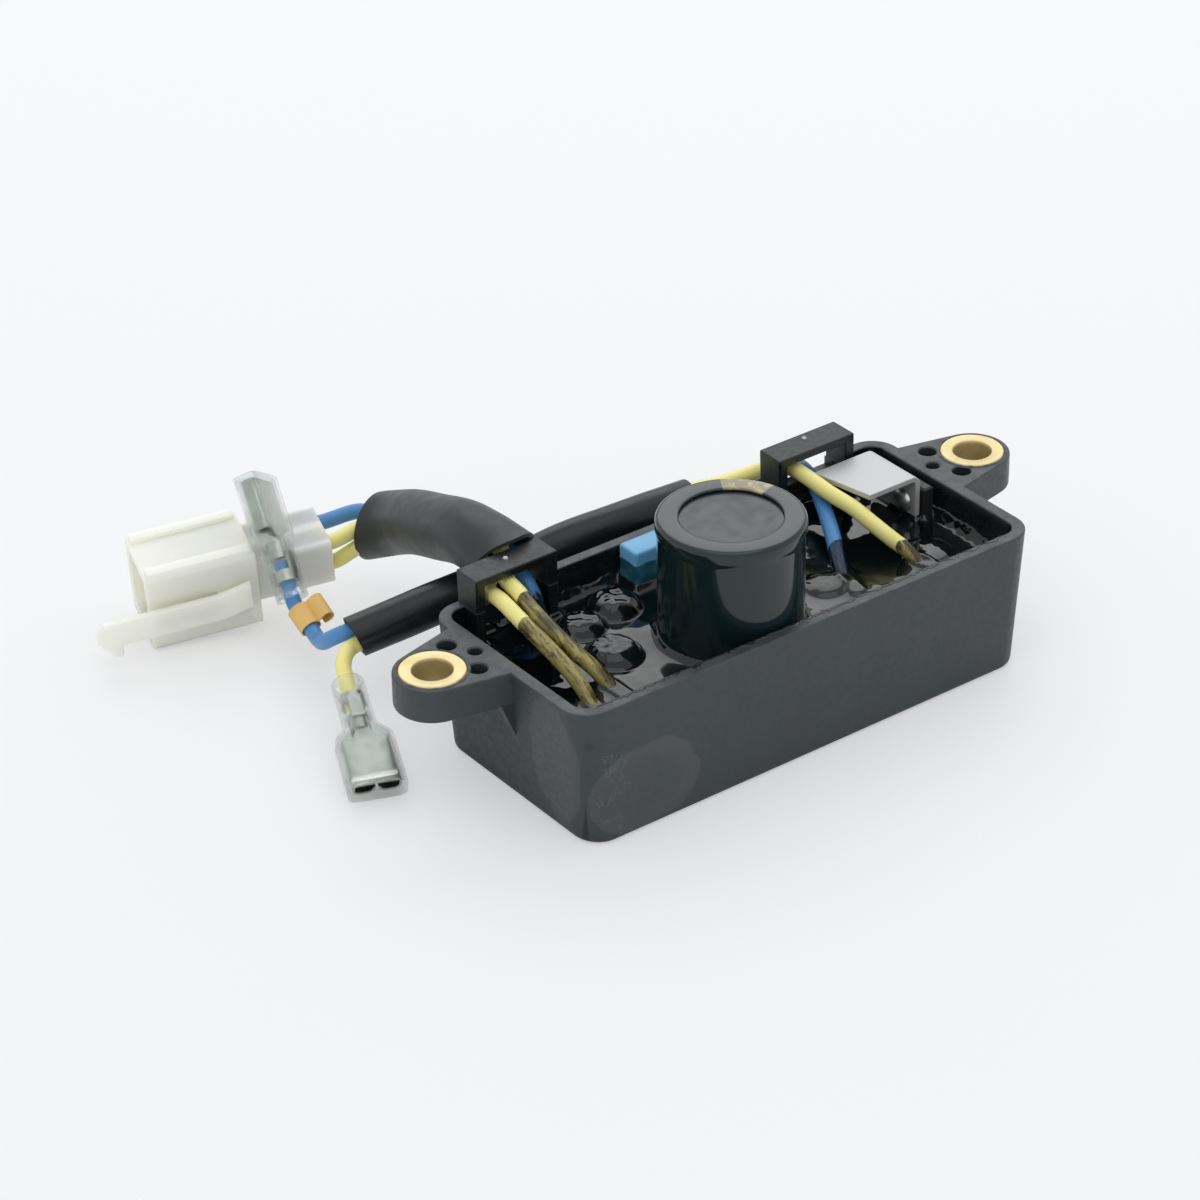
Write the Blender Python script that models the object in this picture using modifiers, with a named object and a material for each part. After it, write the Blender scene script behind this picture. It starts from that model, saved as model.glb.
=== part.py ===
# Potted automatic voltage regulator of a small generator, with its free leads.
# Metres, +Z up. The origin is on the floor, midway between the two fixing bores and in the middle of the
# box's depth.
# +X runs from the left ear to the right ear, and the leads leave over the back wall, towards +Y.
import bmesh
import bpy
from math import acos, atan2, cos, pi, radians, sin, tau
from mathutils import Euler, Matrix, Vector

OBJECT_NAME = "automatic_voltage_regulator"
CLEARANCE = 0.0003
OVERSHOOT = 0.001

# Housing
BOX_LENGTH = 0.0940
BOX_WIDTH = 0.0410
BOX_HEIGHT = 0.0250
END_TAPER = 0.0020
SIDE_TAPER = 0.0002
BOX_CORNER = 0.0050
BASE_FILLET = 0.0012
END_WALL = 0.0023
FRONT_WALL = 0.0023
BACK_WALL = 0.0021
FLOOR = 0.0022
INNER_CORNER = 0.0032
LEDGE_REACH = 0.0028
LEDGE_WIDTH = 0.0260
LEDGE_MIDDLE = -0.0010

# Ears
HOLE_PITCH = 0.1120
HOLE_SETBACK = 0.0060
EAR_RADIUS = 0.0064
EAR_THICKNESS = 0.0060
EAR_ROOT_FRONT = -0.0026
EAR_ROOT_BACK = 0.0150
EAR_EDGE = 0.0005
GUSSET_REACH = 0.0018
GUSSET_DROP = 0.0070
GUSSET_WIDTH = 0.0016
GUSSET_SETBACK = 0.0006
BLIND_HOLES = ((0.0500, 0.0106, 0.0031), (0.0475, 0.0064, 0.0023), (0.0501, 0.0020, 0.0031))
BLIND_DEPTH = 0.0042

# Bushings
BUSHING_DIAMETER = 0.0108
BUSHING_BORE = 0.0066
BUSHING_STANDS_PROUD = 0.0002
BUSHING_CHAMFER = 0.0003

# Wire outlets on the back wall, each set in from its own end of the box
OUTLET_SETBACKS = (0.0141, 0.0177)
OUTLET_CENTRES = (OUTLET_SETBACKS[0] - BOX_LENGTH / 2, BOX_LENGTH / 2 - OUTLET_SETBACKS[1])
OUTLET_LENGTH = 0.0162
OUTLET_DEPTH = 0.0055
OUTLET_TOP = 0.0310
OUTLET_POST = 0.0019
OUTLET_ROOF = 0.0015
OUTLET_SILL = 0.0234

# Circuit board and potting
BOARD_TOP = 0.0145
BOARD_THICKNESS = 0.0016
BOARD_GAP = 0.0009
RESIN_TOP = 0.0185

# Big capacitor
CAN_CENTRE = (-0.0058, -0.0058)
CAN_RADIUS = 0.0113
CAN_TOP = 0.0370
CAN_EDGE = 0.0008
CAN_FOOT = 0.0004
CAN_GROOVE = 0.0006
CAN_GROOVE_LEVELS = (0.0024, 0.0028, 0.0032, 0.0036)
SLEEVE_WALL = 0.0003
CROWN_RADIUS = 0.0122
CROWN_TOP = 0.0402
CROWN_EDGE = 0.0009
CROWN_BAND = 0.0014
LIP_RADIUS = 0.0084

# Film capacitor
FILM_LENGTH = 0.0130
FILM_WIDTH = 0.0048
FILM_HEIGHT = 0.0110
FILM_LEFT = -0.0105
FILM_LEAN = 0.0003

# Heat sink
SINK_THICKNESS = 0.0010
SINK_TOP = 0.0272
SINK_FRONT = 0.0023
SINK_BACK = 0.0140
SINK_WALL_GAP = 0.0035
SINK_SHELF_FRONT = 0.0111
SINK_SHELF_BACK = 0.0134
SINK_OUTER = BOX_LENGTH / 2 - END_WALL - SINK_WALL_GAP
SINK_LEFT_FRONT = SINK_OUTER - SINK_SHELF_FRONT
SINK_LEFT_BACK = SINK_OUTER - SINK_SHELF_BACK
SINK_BEND = 0.0018
SINK_FOOT = 0.0150
RIVET_PLACE = (0.0052, 0.0216)
RIVET_DIAMETER = 0.0024
RIVET_HEAD = 0.0042
RIVET_HEAD_HEIGHT = 0.0009

# Power transistor on the heat sink
TRANSISTOR_WIDTH = 0.0080
TRANSISTOR_HEIGHT = 0.0092
TRANSISTOR_THICKNESS = 0.0020
TRANSISTOR_SHIFT = 0.0004

# Low cans under the resin's skin: centre, diameter, top
LOW_CANS = (((-0.0162, 0.0118), 0.0062, 0.0203), ((-0.0240, 0.0100), 0.0050, 0.0201),
            ((-0.0250, 0.0002), 0.0063, 0.0202))
VARISTOR_CENTRE = (0.0242, -0.0109)
VARISTOR_DIAMETER = 0.0086
VARISTOR_THICKNESS = 0.0024
VARISTOR_EDGE = 0.0005

# Axial parts on the board: centre x and y, body length, body diameter, turn in degrees
DIODES = ((0.0125, 0.0095, 0.0052, 0.0026, 90), (0.0165, 0.0095, 0.0052, 0.0026, 90),
          (0.0125, 0.0010, 0.0052, 0.0026, 90), (0.0000, 0.0098, 0.0052, 0.0026, 0))
RESISTORS = ((-0.0225, -0.0085, 0.0063, 0.0023, 0), (-0.0225, -0.0130, 0.0063, 0.0023, 0))
AXIAL_WIRE = 0.0008
AXIAL_REACH = 0.0016

# Leads and their sleeving
LEAD_DIAMETER = 0.0027
LEAD_LEVEL = BOARD_TOP + CLEARANCE + LEAD_DIAMETER / 2
LARGE_SLEEVE_DIAMETER = 0.0110
LARGE_SLEEVE_WALL = 0.0007
THIN_SLEEVE_DIAMETER = 0.0072
THIN_SLEEVE_WALL = 0.0004
LARGE_SPREAD = 0.0030
LARGE_MIDDLE_SPREAD = 0.0008
THIN_SPREAD = 0.00152
ROUTE_STEPS = 2

# Route of the large sleeve, from its mouth behind the left outlet to the connector
LARGE_SLEEVE_ROUTE = ((-0.0300, 0.0232, 0.0282), (-0.0302, 0.0285, 0.0284), (-0.0296, 0.0345, 0.0272),
                      (-0.0284, 0.0430, 0.0238), (-0.0267, 0.0520, 0.0200), (-0.0260, 0.0585, 0.0168),
                      (-0.0273, 0.0646, 0.0138))

# Route of the thin sleeve, from behind the back wall to the two receptacles
THIN_SLEEVE_ROUTE = ((0.0100, 0.0248, 0.0236), (-0.0054, 0.0266, 0.0230), (-0.0140, 0.0284, 0.0219),
                     (-0.0225, 0.0306, 0.0194), (-0.0295, 0.0326, 0.0174), (-0.0360, 0.0345, 0.0159),
                     (-0.0425, 0.0363, 0.0144), (-0.0497, 0.0380, 0.0130))

# Each lead inside the box, from its end on the board to the outlet
YELLOW_1_INSIDE = ((-0.0369, -0.0158, LEAD_LEVEL), (-0.0368, -0.0126, LEAD_LEVEL + 0.0002),
                   (-0.0365, -0.0096, 0.0181), (-0.0363, -0.0066, 0.0201), (-0.0364, -0.0030, 0.0219),
                   (-0.0369, 0.0020, 0.0240), (-0.0375, 0.0076, 0.0260), (-0.0374, 0.0130, 0.0271),
                   (-0.0368, 0.0170, 0.0265), (-0.0350, 0.0203, 0.0257))
YELLOW_2_INSIDE = ((-0.0309, -0.0132, LEAD_LEVEL), (-0.0308, -0.0100, LEAD_LEVEL + 0.0002),
                   (-0.0310, -0.0070, 0.0183), (-0.0318, -0.0040, 0.0205), (-0.0330, -0.0005, 0.0224),
                   (-0.0338, 0.0030, 0.0240), (-0.0344, 0.0080, 0.0260), (-0.0342, 0.0130, 0.0276),
                   (-0.0336, 0.0170, 0.0278), (-0.0320, 0.0203, 0.0280))
BLUE_1_INSIDE = ((-0.0286, 0.0080, LEAD_LEVEL), (-0.0285, 0.0112, LEAD_LEVEL + 0.0002),
                 (-0.0284, 0.0140, 0.0182), (-0.0285, 0.0155, 0.0206), (-0.0289, 0.0161, 0.0230),
                 (-0.0292, 0.0174, 0.0252), (-0.0291, 0.0196, 0.0264))
YELLOW_3_INSIDE = (
    (0.0332, -0.0140, LEAD_LEVEL), (0.0328, -0.0110, LEAD_LEVEL + 0.0002), (0.0320, -0.0082, 0.0182),
    (0.0314, -0.0060, 0.0199), (0.0302, -0.0034, 0.0214), (0.0290, 0.0004, 0.0232), (0.0281, 0.0040, 0.0247),
    (0.0267, 0.0086, 0.0260), (0.0260, 0.0125, 0.0270), (0.0256, 0.0166, 0.0274), (0.0254, 0.0202, 0.0266),
    (0.0246, 0.0232, 0.0249), (0.0215, 0.0252, 0.0237), (0.0172, 0.0254, 0.0238), (0.0134, 0.0250, 0.0246))
BLUE_2_INSIDE = (
    (0.0180, -0.0090, LEAD_LEVEL), (0.0187, -0.0062, LEAD_LEVEL + 0.0002), (0.0197, -0.0030, 0.0184),
    (0.0215, 0.0004, 0.0200), (0.0233, 0.0036, 0.0213), (0.0250, 0.0070, 0.0224), (0.0271, 0.0112, 0.0233),
    (0.0286, 0.0150, 0.0245), (0.0292, 0.0182, 0.0253), (0.0292, 0.0210, 0.0252), (0.0282, 0.0240, 0.0237),
    (0.0255, 0.0262, 0.0216), (0.0212, 0.0266, 0.0206), (0.0170, 0.0262, 0.0206), (0.0133, 0.0255, 0.0213))

# The leads beyond their sleeves
BLUE_1_OUTSIDE = (-0.0272, 0.0695, 0.0144)
YELLOW_3_OUTSIDE = ((-0.0524, 0.0361, 0.0121), (-0.0545, 0.0342, 0.0112))
BLUE_2_OUTSIDE = ((-0.0517, 0.0415, 0.0119), (-0.0513, 0.0449, 0.0093), (-0.0502, 0.0479, 0.0077),
                  (-0.0494, 0.0506, 0.0073), (-0.04905, 0.0533, 0.00815), (-0.04895, 0.0556, 0.0092))

# Connector: the back lower corner of its hood, and its turn as it lies
CONNECTOR_CORNER = (-0.06349, 0.08587, 0.00150)
CONNECTOR_TURN = (5.9, -4.15, -17.4)
HOOD_LENGTH = 0.0193
HOOD_WIDTH = 0.0137
HOOD_HEIGHT = 0.0148
HOOD_WALL = 0.0013
HOOD_EDGE = 0.0008
HOOD_BACK = 0.0020
BLOCK_LENGTH = 0.0135
BLOCK_WIDTH = 0.0119
BLOCK_HEIGHT = 0.0085
BLOCK_INSET = 0.0008
BLOCK_RISE = 0.0039
WAY_SIZE = 0.0034
WAY_PITCH_ACROSS = 0.0058
WAY_PITCH_UP = 0.0042
LEAD_IN_WAY = 0.0028
LEAD_BEFORE_WAY = (0.0016, -0.0004)
BLADE_WIDTH = 0.0028
BLADE_THICKNESS = 0.0008
BLADE_SETBACK = 0.0060
RAIL_WIDTH = 0.0022
RAIL_HEIGHT = 0.0007
RAIL_INSET = 0.0005
ARM_HEIGHT = 0.0048
ARM_THICKNESS = 0.0013
ARM_GAP = 0.0010
ARM_RISE = 0.0046
ARM_REACH = 0.0095
ARM_ROOT = 0.0125
ARM_FOOT = 0.0050
HOOK_LENGTH = 0.0040
HOOK_DROP = 0.0022

# Receptacles: the middle of each one's mouth, and the turn that lays its length along X
RECEPTACLE_LENGTH = 0.0190
RECEPTACLE_WIDTH = 0.0080
RECEPTACLE_HEIGHT = 0.0028
RECEPTACLE_SHEET = 0.0004
CURL_LENGTH = 0.0090
NECK_WIDTH = 0.0022
LEAD_BEFORE_GRIP = (-0.0030, 0.0006)
GRIP_START = 0.0007
GRIP_LENGTH = 0.0020
BARREL_START = 0.0049
BARREL_END = 0.0080
BARREL_RADIUS = 0.00175
COVER_WALL = 0.0004
COVER_WIDTH = 0.0098
COVER_HEIGHT = 0.0046
COVER_TAIL = 0.0022
COVER_NOSE = 0.0008
YELLOW_MOUTH = (-0.0631, 0.0125, 0.0026)
YELLOW_HEADING = (-0.340, -0.875, -0.345)
YELLOW_ROLL = 180.0
BLUE_MOUTH = (-0.0453, 0.0729, 0.0249)
BLUE_HEADING = (0.170, 0.720, 0.670)
BLUE_ROLL = 230.0

# Marker on the blue lead
MARKER_SHEET = 0.0003
MARKER_LENGTH = 0.0044
MARKER_SLIDE = -0.0005
MARKER_SECOND = 0.0026
MARKER_SIDE = (0.83, -0.40, 0.35)

TURNED_STEPS = 30
SMALL_STEPS = 20
FINE_STEPS = 16
SMALL_EDGE = 0.0003


# Scene, materials and solids
def clear_scene():
    for old in list(bpy.data.objects):
        bpy.data.objects.remove(old, do_unlink=True)


def collection(name):
    made = bpy.data.collections.new(name)
    bpy.context.scene.collection.children.link(made)
    return made


clear_scene()
PIECES = collection(OBJECT_NAME)
CUTTERS = collection("cutters")


def finish(name, colour, roughness, metallic=0.0, transmission=0.0):
    made = bpy.data.materials.new(name)
    made.use_nodes = True
    shader = made.node_tree.nodes["Principled BSDF"]
    shader.inputs["Base Color"].default_value = (*colour, 1.0)
    shader.inputs["Roughness"].default_value = roughness
    shader.inputs["Metallic"].default_value = metallic
    shader.inputs["Transmission Weight"].default_value = transmission
    made.diffuse_color = (*colour, 1.0)
    return made


MOULDING = finish("black_moulding", (0.075, 0.080, 0.084), 0.50)
PLATED = finish("yellow_plated_steel", (0.80, 0.68, 0.42), 0.40, 0.6)
RESIN = finish("potting_resin", (0.012, 0.014, 0.015), 0.08)
LAMINATE = finish("board_laminate", (0.10, 0.22, 0.12), 0.50)
CAN_SKIN = finish("capacitor_sleeve", (0.020, 0.024, 0.028), 0.20)
ALUMINIUM = finish("aluminium", (0.78, 0.79, 0.80), 0.35, 0.9)
FILM_BOX = finish("blue_box", (0.16, 0.45, 0.75), 0.40)
COMPONENT = finish("component_black", (0.03, 0.03, 0.03), 0.45)
DISC_COAT = finish("olive_coat", (0.20, 0.18, 0.10), 0.40)
YELLOW = finish("yellow_insulation", (0.86, 0.76, 0.32), 0.40)
BLUE = finish("blue_insulation", (0.07, 0.18, 0.45), 0.40)
SLEEVING = finish("black_sleeving", (0.055, 0.060, 0.063), 0.50)
NYLON = finish("natural_nylon", (0.86, 0.86, 0.78), 0.40)
TINNED = finish("tinned_brass", (0.72, 0.73, 0.70), 0.30, 0.9)
CLEAR = finish("clear_sleeve", (0.86, 0.90, 0.88), 0.15, 0.0, 0.9)
ORANGE = finish("orange_marker", (0.86, 0.55, 0.20), 0.50)


# A mesh becomes an object: a piece with its finish, or a hidden cutter
def place(name, shape, skin=None):
    bmesh.ops.recalc_face_normals(shape, faces=shape.faces)
    mesh = bpy.data.meshes.new(name)
    shape.to_mesh(mesh)
    shape.free()
    made = bpy.data.objects.new(name, mesh)
    if skin is None:
        CUTTERS.objects.link(made)
        made.hide_render = True
        made.display_type = "WIRE"
    else:
        mesh.materials.append(skin)
        PIECES.objects.link(made)
    return made


def boolean(target, tool, operation):
    step = target.modifiers.new(operation.lower() + " " + tool.name, "BOOLEAN")
    step.operation = operation
    step.solver = "EXACT"
    step.object = tool


def cut(target, *tools):
    for tool in tools:
        boolean(target, tool, "DIFFERENCE")


def join(target, *tools):
    for tool in tools:
        boolean(target, tool, "UNION")


# A block between two corners
def block(low, high):
    shape = bmesh.new()
    bmesh.ops.create_cube(shape, size=1.0)
    size = Vector(high) - Vector(low)
    bmesh.ops.scale(shape, vec=size, verts=shape.verts)
    bmesh.ops.translate(shape, vec=Vector(low) + size / 2, verts=shape.verts)
    return shape


# A cylinder along Z, X or Y between two levels
def cylinder(centre, radius, low, high, axis="Z", steps=TURNED_STEPS):
    shape = bmesh.new()
    bmesh.ops.create_cone(shape, cap_ends=True, segments=steps, radius1=radius, radius2=radius,
                          depth=high - low)
    bmesh.ops.translate(shape, vec=(0, 0, (low + high) / 2), verts=shape.verts)
    turn = {"Z": Matrix.Identity(3), "X": Matrix.Rotation(pi / 2, 3, "Y"),
            "Y": Matrix.Rotation(-pi / 2, 3, "X")}[axis]
    bmesh.ops.rotate(shape, matrix=turn, verts=shape.verts)
    shift = {"Z": (centre[0], centre[1], 0), "X": (0, centre[0], centre[1]),
             "Y": (centre[0], 0, centre[1])}[axis]
    bmesh.ops.translate(shape, vec=shift, verts=shape.verts)
    return shape


# A flat outline, given in two axes, pushed along the third
def prism(outline, low, high, axis="Z"):
    lift = {"Z": lambda a, b, h: (a, b, h), "X": lambda a, b, h: (h, a, b),
            "Y": lambda a, b, h: (a, h, b)}[axis]
    shape = bmesh.new()
    face = shape.faces.new([shape.verts.new(lift(a, b, low)) for a, b in outline])
    pushed = bmesh.ops.extrude_face_region(shape, geom=[face])
    along = Vector(lift(0, 0, high - low))
    moved = [item for item in pushed["geom"] if isinstance(item, bmesh.types.BMVert)]
    bmesh.ops.translate(shape, vec=along, verts=moved)
    return shape


# Rounds the edges that a test picks out
def round_edges(shape, wanted, width, steps):
    picked = [edge for edge in shape.edges if wanted(edge)]
    bmesh.ops.bevel(shape, geom=picked, offset=width, segments=steps, profile=0.5, affect="EDGES",
                    material=-1)


def upright(edge):
    run = edge.verts[1].co - edge.verts[0].co
    return abs(run.z) > 0.9 * run.length


def level_at(height):
    return lambda edge: all(abs(vertex.co.z - height) < 1e-6 for vertex in edge.verts)


# A turned solid: a closed profile of radius and height, spun about the upright through centre
def turned(name, profile, centre, skin, steps=TURNED_STEPS):
    shape = bmesh.new()
    ring = [shape.verts.new((radius, 0, height)) for radius, height in profile]
    for first, second in zip(ring, ring[1:] + ring[:1]):
        if first.co.x > 0 or second.co.x > 0:
            shape.edges.new((first, second))
    mesh = bpy.data.meshes.new(name)
    shape.to_mesh(mesh)
    shape.free()
    mesh.materials.append(skin)
    made = bpy.data.objects.new(name, mesh)
    made.location = (centre[0], centre[1], 0)
    PIECES.objects.link(made)
    spin = made.modifiers.new("spin", "SCREW")
    spin.steps = steps
    spin.render_steps = steps
    spin.use_merge_vertices = True
    spin.merge_threshold = 0.00001
    return made


# Smooth curve through chosen points, with a set number of steps between neighbours
def smooth(points, steps=ROUTE_STEPS):
    points = [Vector(point) for point in points]
    padded = [2 * points[0] - points[1]] + points + [2 * points[-1] - points[-2]]
    path = []
    for before, start, end, after in zip(padded, padded[1:], padded[2:], padded[3:]):
        for step in range(steps):
            t = step / steps
            square = 2 * before - 5 * start + 4 * end - after
            cube = 3 * start - before - 3 * end + after
            path.append(0.5 * (2 * start + (end - before) * t + square * t ** 2 + cube * t ** 3))
    return path + [points[-1]]


# A path beside another one, turning round it from the first angle to the last, in degrees
def beside(path, spread, first, last):
    made = []
    for index, point in enumerate(path):
        heading = (path[min(index + 1, len(path) - 1)] - path[max(index - 1, 0)]).normalized()
        side = heading.cross(Vector((0, 0, 1))).normalized()
        angle = radians(first + (last - first) * index / (len(path) - 1))
        made.append(point + spread * (side * cos(angle) + side.cross(heading) * sin(angle)))
    return made


# A lead's whole path: smooth inside the box, held in its sleeve, and smooth again beyond it
def lead_path(inside, held, outside):
    head = smooth([*inside, held[0], held[ROUTE_STEPS]])[:-ROUTE_STEPS - 1]
    tail = smooth([held[-1 - ROUTE_STEPS], held[-1], *outside])[ROUTE_STEPS + 1:]
    return head + held + tail


# A round tube along a path, as a curve with filled ends
def tube(name, path, diameter, skin, resolution=2, capped=True):
    curve = bpy.data.curves.new(name, "CURVE")
    curve.dimensions = "3D"
    curve.bevel_depth = diameter / 2
    curve.bevel_resolution = resolution
    curve.resolution_u = 1
    curve.use_fill_caps = capped
    line = curve.splines.new("POLY")
    line.points.add(len(path) - 1)
    for point, position in zip(line.points, path):
        point.co = (*position, 1.0)
    if skin is not None:
        curve.materials.append(skin)
    made = bpy.data.objects.new(name, curve)
    PIECES.objects.link(made)
    return made


# The same tube as a mesh, for what is cut or hollow
def tube_mesh(path, diameter, resolution=2, capped=True):
    made = tube("drawn", path, diameter, None, resolution, capped)
    bpy.context.view_layer.update()
    drawn = made.evaluated_get(bpy.context.evaluated_depsgraph_get())
    mesh = bpy.data.meshes.new_from_object(drawn)
    shape = bmesh.new()
    shape.from_mesh(mesh)
    bmesh.ops.remove_doubles(shape, verts=shape.verts, dist=0.00001)
    curve = made.data
    bpy.data.objects.remove(made, do_unlink=True)
    bpy.data.curves.remove(curve)
    bpy.data.meshes.remove(mesh)
    return shape


# A hollow sleeve: the open skin of a tube with its wall grown inwards
def sleeve(name, path, diameter, wall, skin):
    made = place(name, tube_mesh(path, diameter, 4, False), skin)
    shell(made, wall)
    return made


def shell(made, wall):
    grown = made.modifiers.new("wall", "SOLIDIFY")
    grown.thickness = wall
    grown.offset = -1.0
    grown.use_even_offset = True
    return grown


def soften(made, width, steps=2, angle=40):
    edge = made.modifiers.new("edge", "BEVEL")
    edge.width = width
    edge.segments = steps
    edge.limit_method = "ANGLE"
    edge.angle_limit = radians(angle)
    return edge


# Housing
def box_solid():
    half = Vector((BOX_LENGTH / 2, BOX_WIDTH / 2, 0))
    shape = block((-half.x, -half.y, 0), (half.x, half.y, BOX_HEIGHT))
    round_edges(shape, upright, BOX_CORNER, 6)
    foot = [vertex for vertex in shape.verts if vertex.co.z < BOX_HEIGHT / 2]
    bmesh.ops.scale(shape, vec=(1 - END_TAPER / half.x, 1 - SIDE_TAPER / half.y, 1), verts=foot)
    round_edges(shape, level_at(0), BASE_FILLET, 2)
    return shape


# The hollow of the box above its floor, grown or shrunk by a gap and ended at a level
def hollow_solid(gap, low, high):
    taper = END_TAPER * (BOX_HEIGHT - FLOOR) / BOX_HEIGHT
    shape = block((-BOX_LENGTH / 2 + END_WALL + gap, -BOX_WIDTH / 2 + FRONT_WALL + gap, low),
                  (BOX_LENGTH / 2 - END_WALL - gap, BOX_WIDTH / 2 - BACK_WALL - gap, high))
    round_edges(shape, upright, INNER_CORNER - gap, 4)
    middle = (FRONT_WALL - BACK_WALL) / 2
    for vertex in shape.verts:
        drop = (BOX_HEIGHT - vertex.co.z) / (BOX_HEIGHT - FLOOR)
        vertex.co.x *= 1 - drop * taper / (BOX_LENGTH / 2)
        vertex.co.y = middle + (vertex.co.y - middle) * (1 - drop * SIDE_TAPER / (BOX_WIDTH / 2))
    return shape


# A tongue that runs from the end wall to a round end about the fixing bore
def ear_outline(side, grow=0.0):
    centre = Vector((HOLE_PITCH / 2, HOLE_SETBACK))
    root = BOX_LENGTH / 2 - END_WALL / 2
    radius = EAR_RADIUS + grow
    angles = []
    for depth, turn in ((EAR_ROOT_FRONT, 1), (EAR_ROOT_BACK, -1)):
        reach = Vector((root, depth)) - centre
        angles.append(atan2(reach.y, reach.x) + turn * acos(radius / reach.length))
    first, last = angles[0] % tau - tau, angles[1] % tau
    if last > pi:
        last -= tau
    steps = 14
    arc = [centre + radius * Vector((cos(first + (last - first) * step / steps),
                                     sin(first + (last - first) * step / steps)))
           for step in range(steps + 1)]
    points = [(root, EAR_ROOT_FRONT), *arc, (root, EAR_ROOT_BACK)]
    return [(side * x, y) for x, y in points]


def ear(side, name):
    shape = prism(ear_outline(side), BOX_HEIGHT - EAR_THICKNESS, BOX_HEIGHT)
    round_edges(shape, lambda edge: level_at(BOX_HEIGHT - EAR_THICKNESS)(edge) and
                max(abs(vertex.co.x) for vertex in edge.verts) > BOX_LENGTH / 2, EAR_EDGE, 1)
    return place(name, shape)


# A small web under the ear's front edge
def gusset(side, name):
    wall = BOX_LENGTH / 2 - END_WALL / 2
    under = BOX_HEIGHT - EAR_THICKNESS + EAR_EDGE
    outline = [(side * wall, under), (side * (BOX_LENGTH / 2 + GUSSET_REACH), under),
               (side * wall, under - GUSSET_DROP)]
    front = EAR_ROOT_FRONT + GUSSET_SETBACK
    return place(name, prism(outline, front, front + GUSSET_WIDTH, "Y"))


# A wire outlet: two posts up the inside of the back wall and a roof across them
def outlet(centre, name):
    outer, inner = OUTLET_LENGTH / 2, OUTLET_LENGTH / 2 - OUTLET_POST
    low = FLOOR - OVERSHOOT
    under = OUTLET_TOP - OUTLET_ROOF
    outline = [(centre - outer, low), (centre - inner, low), (centre - inner, under),
               (centre + inner, under), (centre + inner, low), (centre + outer, low),
               (centre + outer, OUTLET_TOP), (centre - outer, OUTLET_TOP)]
    front = BOX_WIDTH / 2 - OUTLET_DEPTH
    shape = prism(outline, front, BOX_WIDTH / 2, "Y")
    foot = [vertex for vertex in shape.verts if vertex.co.z < OUTLET_SILL
            and vertex.co.y > front + OUTLET_DEPTH / 2]
    bmesh.ops.translate(shape, vec=(0, -BACK_WALL / 2, 0), verts=foot)
    return place(name, shape)


def sill_cut(centre, name):
    inner = OUTLET_LENGTH / 2 - OUTLET_POST
    return place(name, block((centre - inner, BOX_WIDTH / 2 - OUTLET_DEPTH, OUTLET_SILL),
                             (centre + inner, BOX_WIDTH / 2 + OVERSHOOT, BOX_HEIGHT + OVERSHOOT)))


def ledge(side, name):
    wall = BOX_LENGTH / 2 - END_WALL / 2 - END_TAPER
    reach = BOX_LENGTH / 2 - END_WALL - END_TAPER - LEDGE_REACH
    top = BOARD_TOP - BOARD_THICKNESS - CLEARANCE
    low, high = sorted((side * wall, side * reach))
    return place(name, block((low, LEDGE_MIDDLE - LEDGE_WIDTH / 2, FLOOR - OVERSHOOT),
                             (high, LEDGE_MIDDLE + LEDGE_WIDTH / 2, top)))


def housing():
    made = place("housing", box_solid(), MOULDING)
    cut(made, place("box_hollow", hollow_solid(0, FLOOR, BOX_HEIGHT + OVERSHOOT)))
    join(made, ear(-1, "ear_left"), ear(1, "ear_right"), gusset(-1, "gusset_left"), gusset(1, "gusset_right"),
         ledge(-1, "ledge_left"), ledge(1, "ledge_right"))
    for centre, side in zip(OUTLET_CENTRES, ("left", "right")):
        join(made, outlet(centre, "outlet_" + side))
        cut(made, sill_cut(centre, "sill_" + side))
    for side, word in ((-1, "left"), (1, "right")):
        seat = cylinder((side * HOLE_PITCH / 2, HOLE_SETBACK), BUSHING_DIAMETER / 2 + CLEARANCE,
                        BOX_HEIGHT - EAR_THICKNESS - OVERSHOOT, BOX_HEIGHT + OVERSHOOT)
        cut(made, place("bushing_seat_" + word, seat))
        for number, (across, depth, size) in enumerate(BLIND_HOLES, 1):
            hole = cylinder((side * across, depth), size / 2, BOX_HEIGHT - BLIND_DEPTH,
                            BOX_HEIGHT + OVERSHOOT, steps=FINE_STEPS)
            cut(made, place(f"blind_hole_{word}_{number}", hole))
    return made


def bushing(side, name):
    outer, bore = BUSHING_DIAMETER / 2, BUSHING_BORE / 2
    low = BOX_HEIGHT - EAR_THICKNESS - BUSHING_STANDS_PROUD
    high = BOX_HEIGHT + BUSHING_STANDS_PROUD
    edge = BUSHING_CHAMFER
    profile = [(outer - edge / 2, high), (outer, high - edge / 2), (outer, low + edge / 2),
               (outer - edge / 2, low), (bore + edge, low), (bore, low + edge), (bore, high - edge),
               (bore + edge, high)]
    return turned(name, profile, (side * HOLE_PITCH / 2, HOLE_SETBACK), PLATED)


# Circuit board and the parts that stand on it
def board_outline():
    back = BOX_WIDTH / 2 - OUTLET_DEPTH - BOARD_GAP
    front = -BOX_WIDTH / 2 + FRONT_WALL + BOARD_GAP
    lean = END_TAPER * (BOX_HEIGHT - BOARD_TOP) / BOX_HEIGHT
    end = BOX_LENGTH / 2 - END_WALL - lean - BOARD_GAP - CLEARANCE
    return (-end, front), (end, back)


def board_solid(gap):
    (left, front), (right, back) = board_outline()
    return block((left - gap, front - gap, BOARD_TOP - BOARD_THICKNESS - gap),
                 (right + gap, back + gap, BOARD_TOP + gap))


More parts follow.
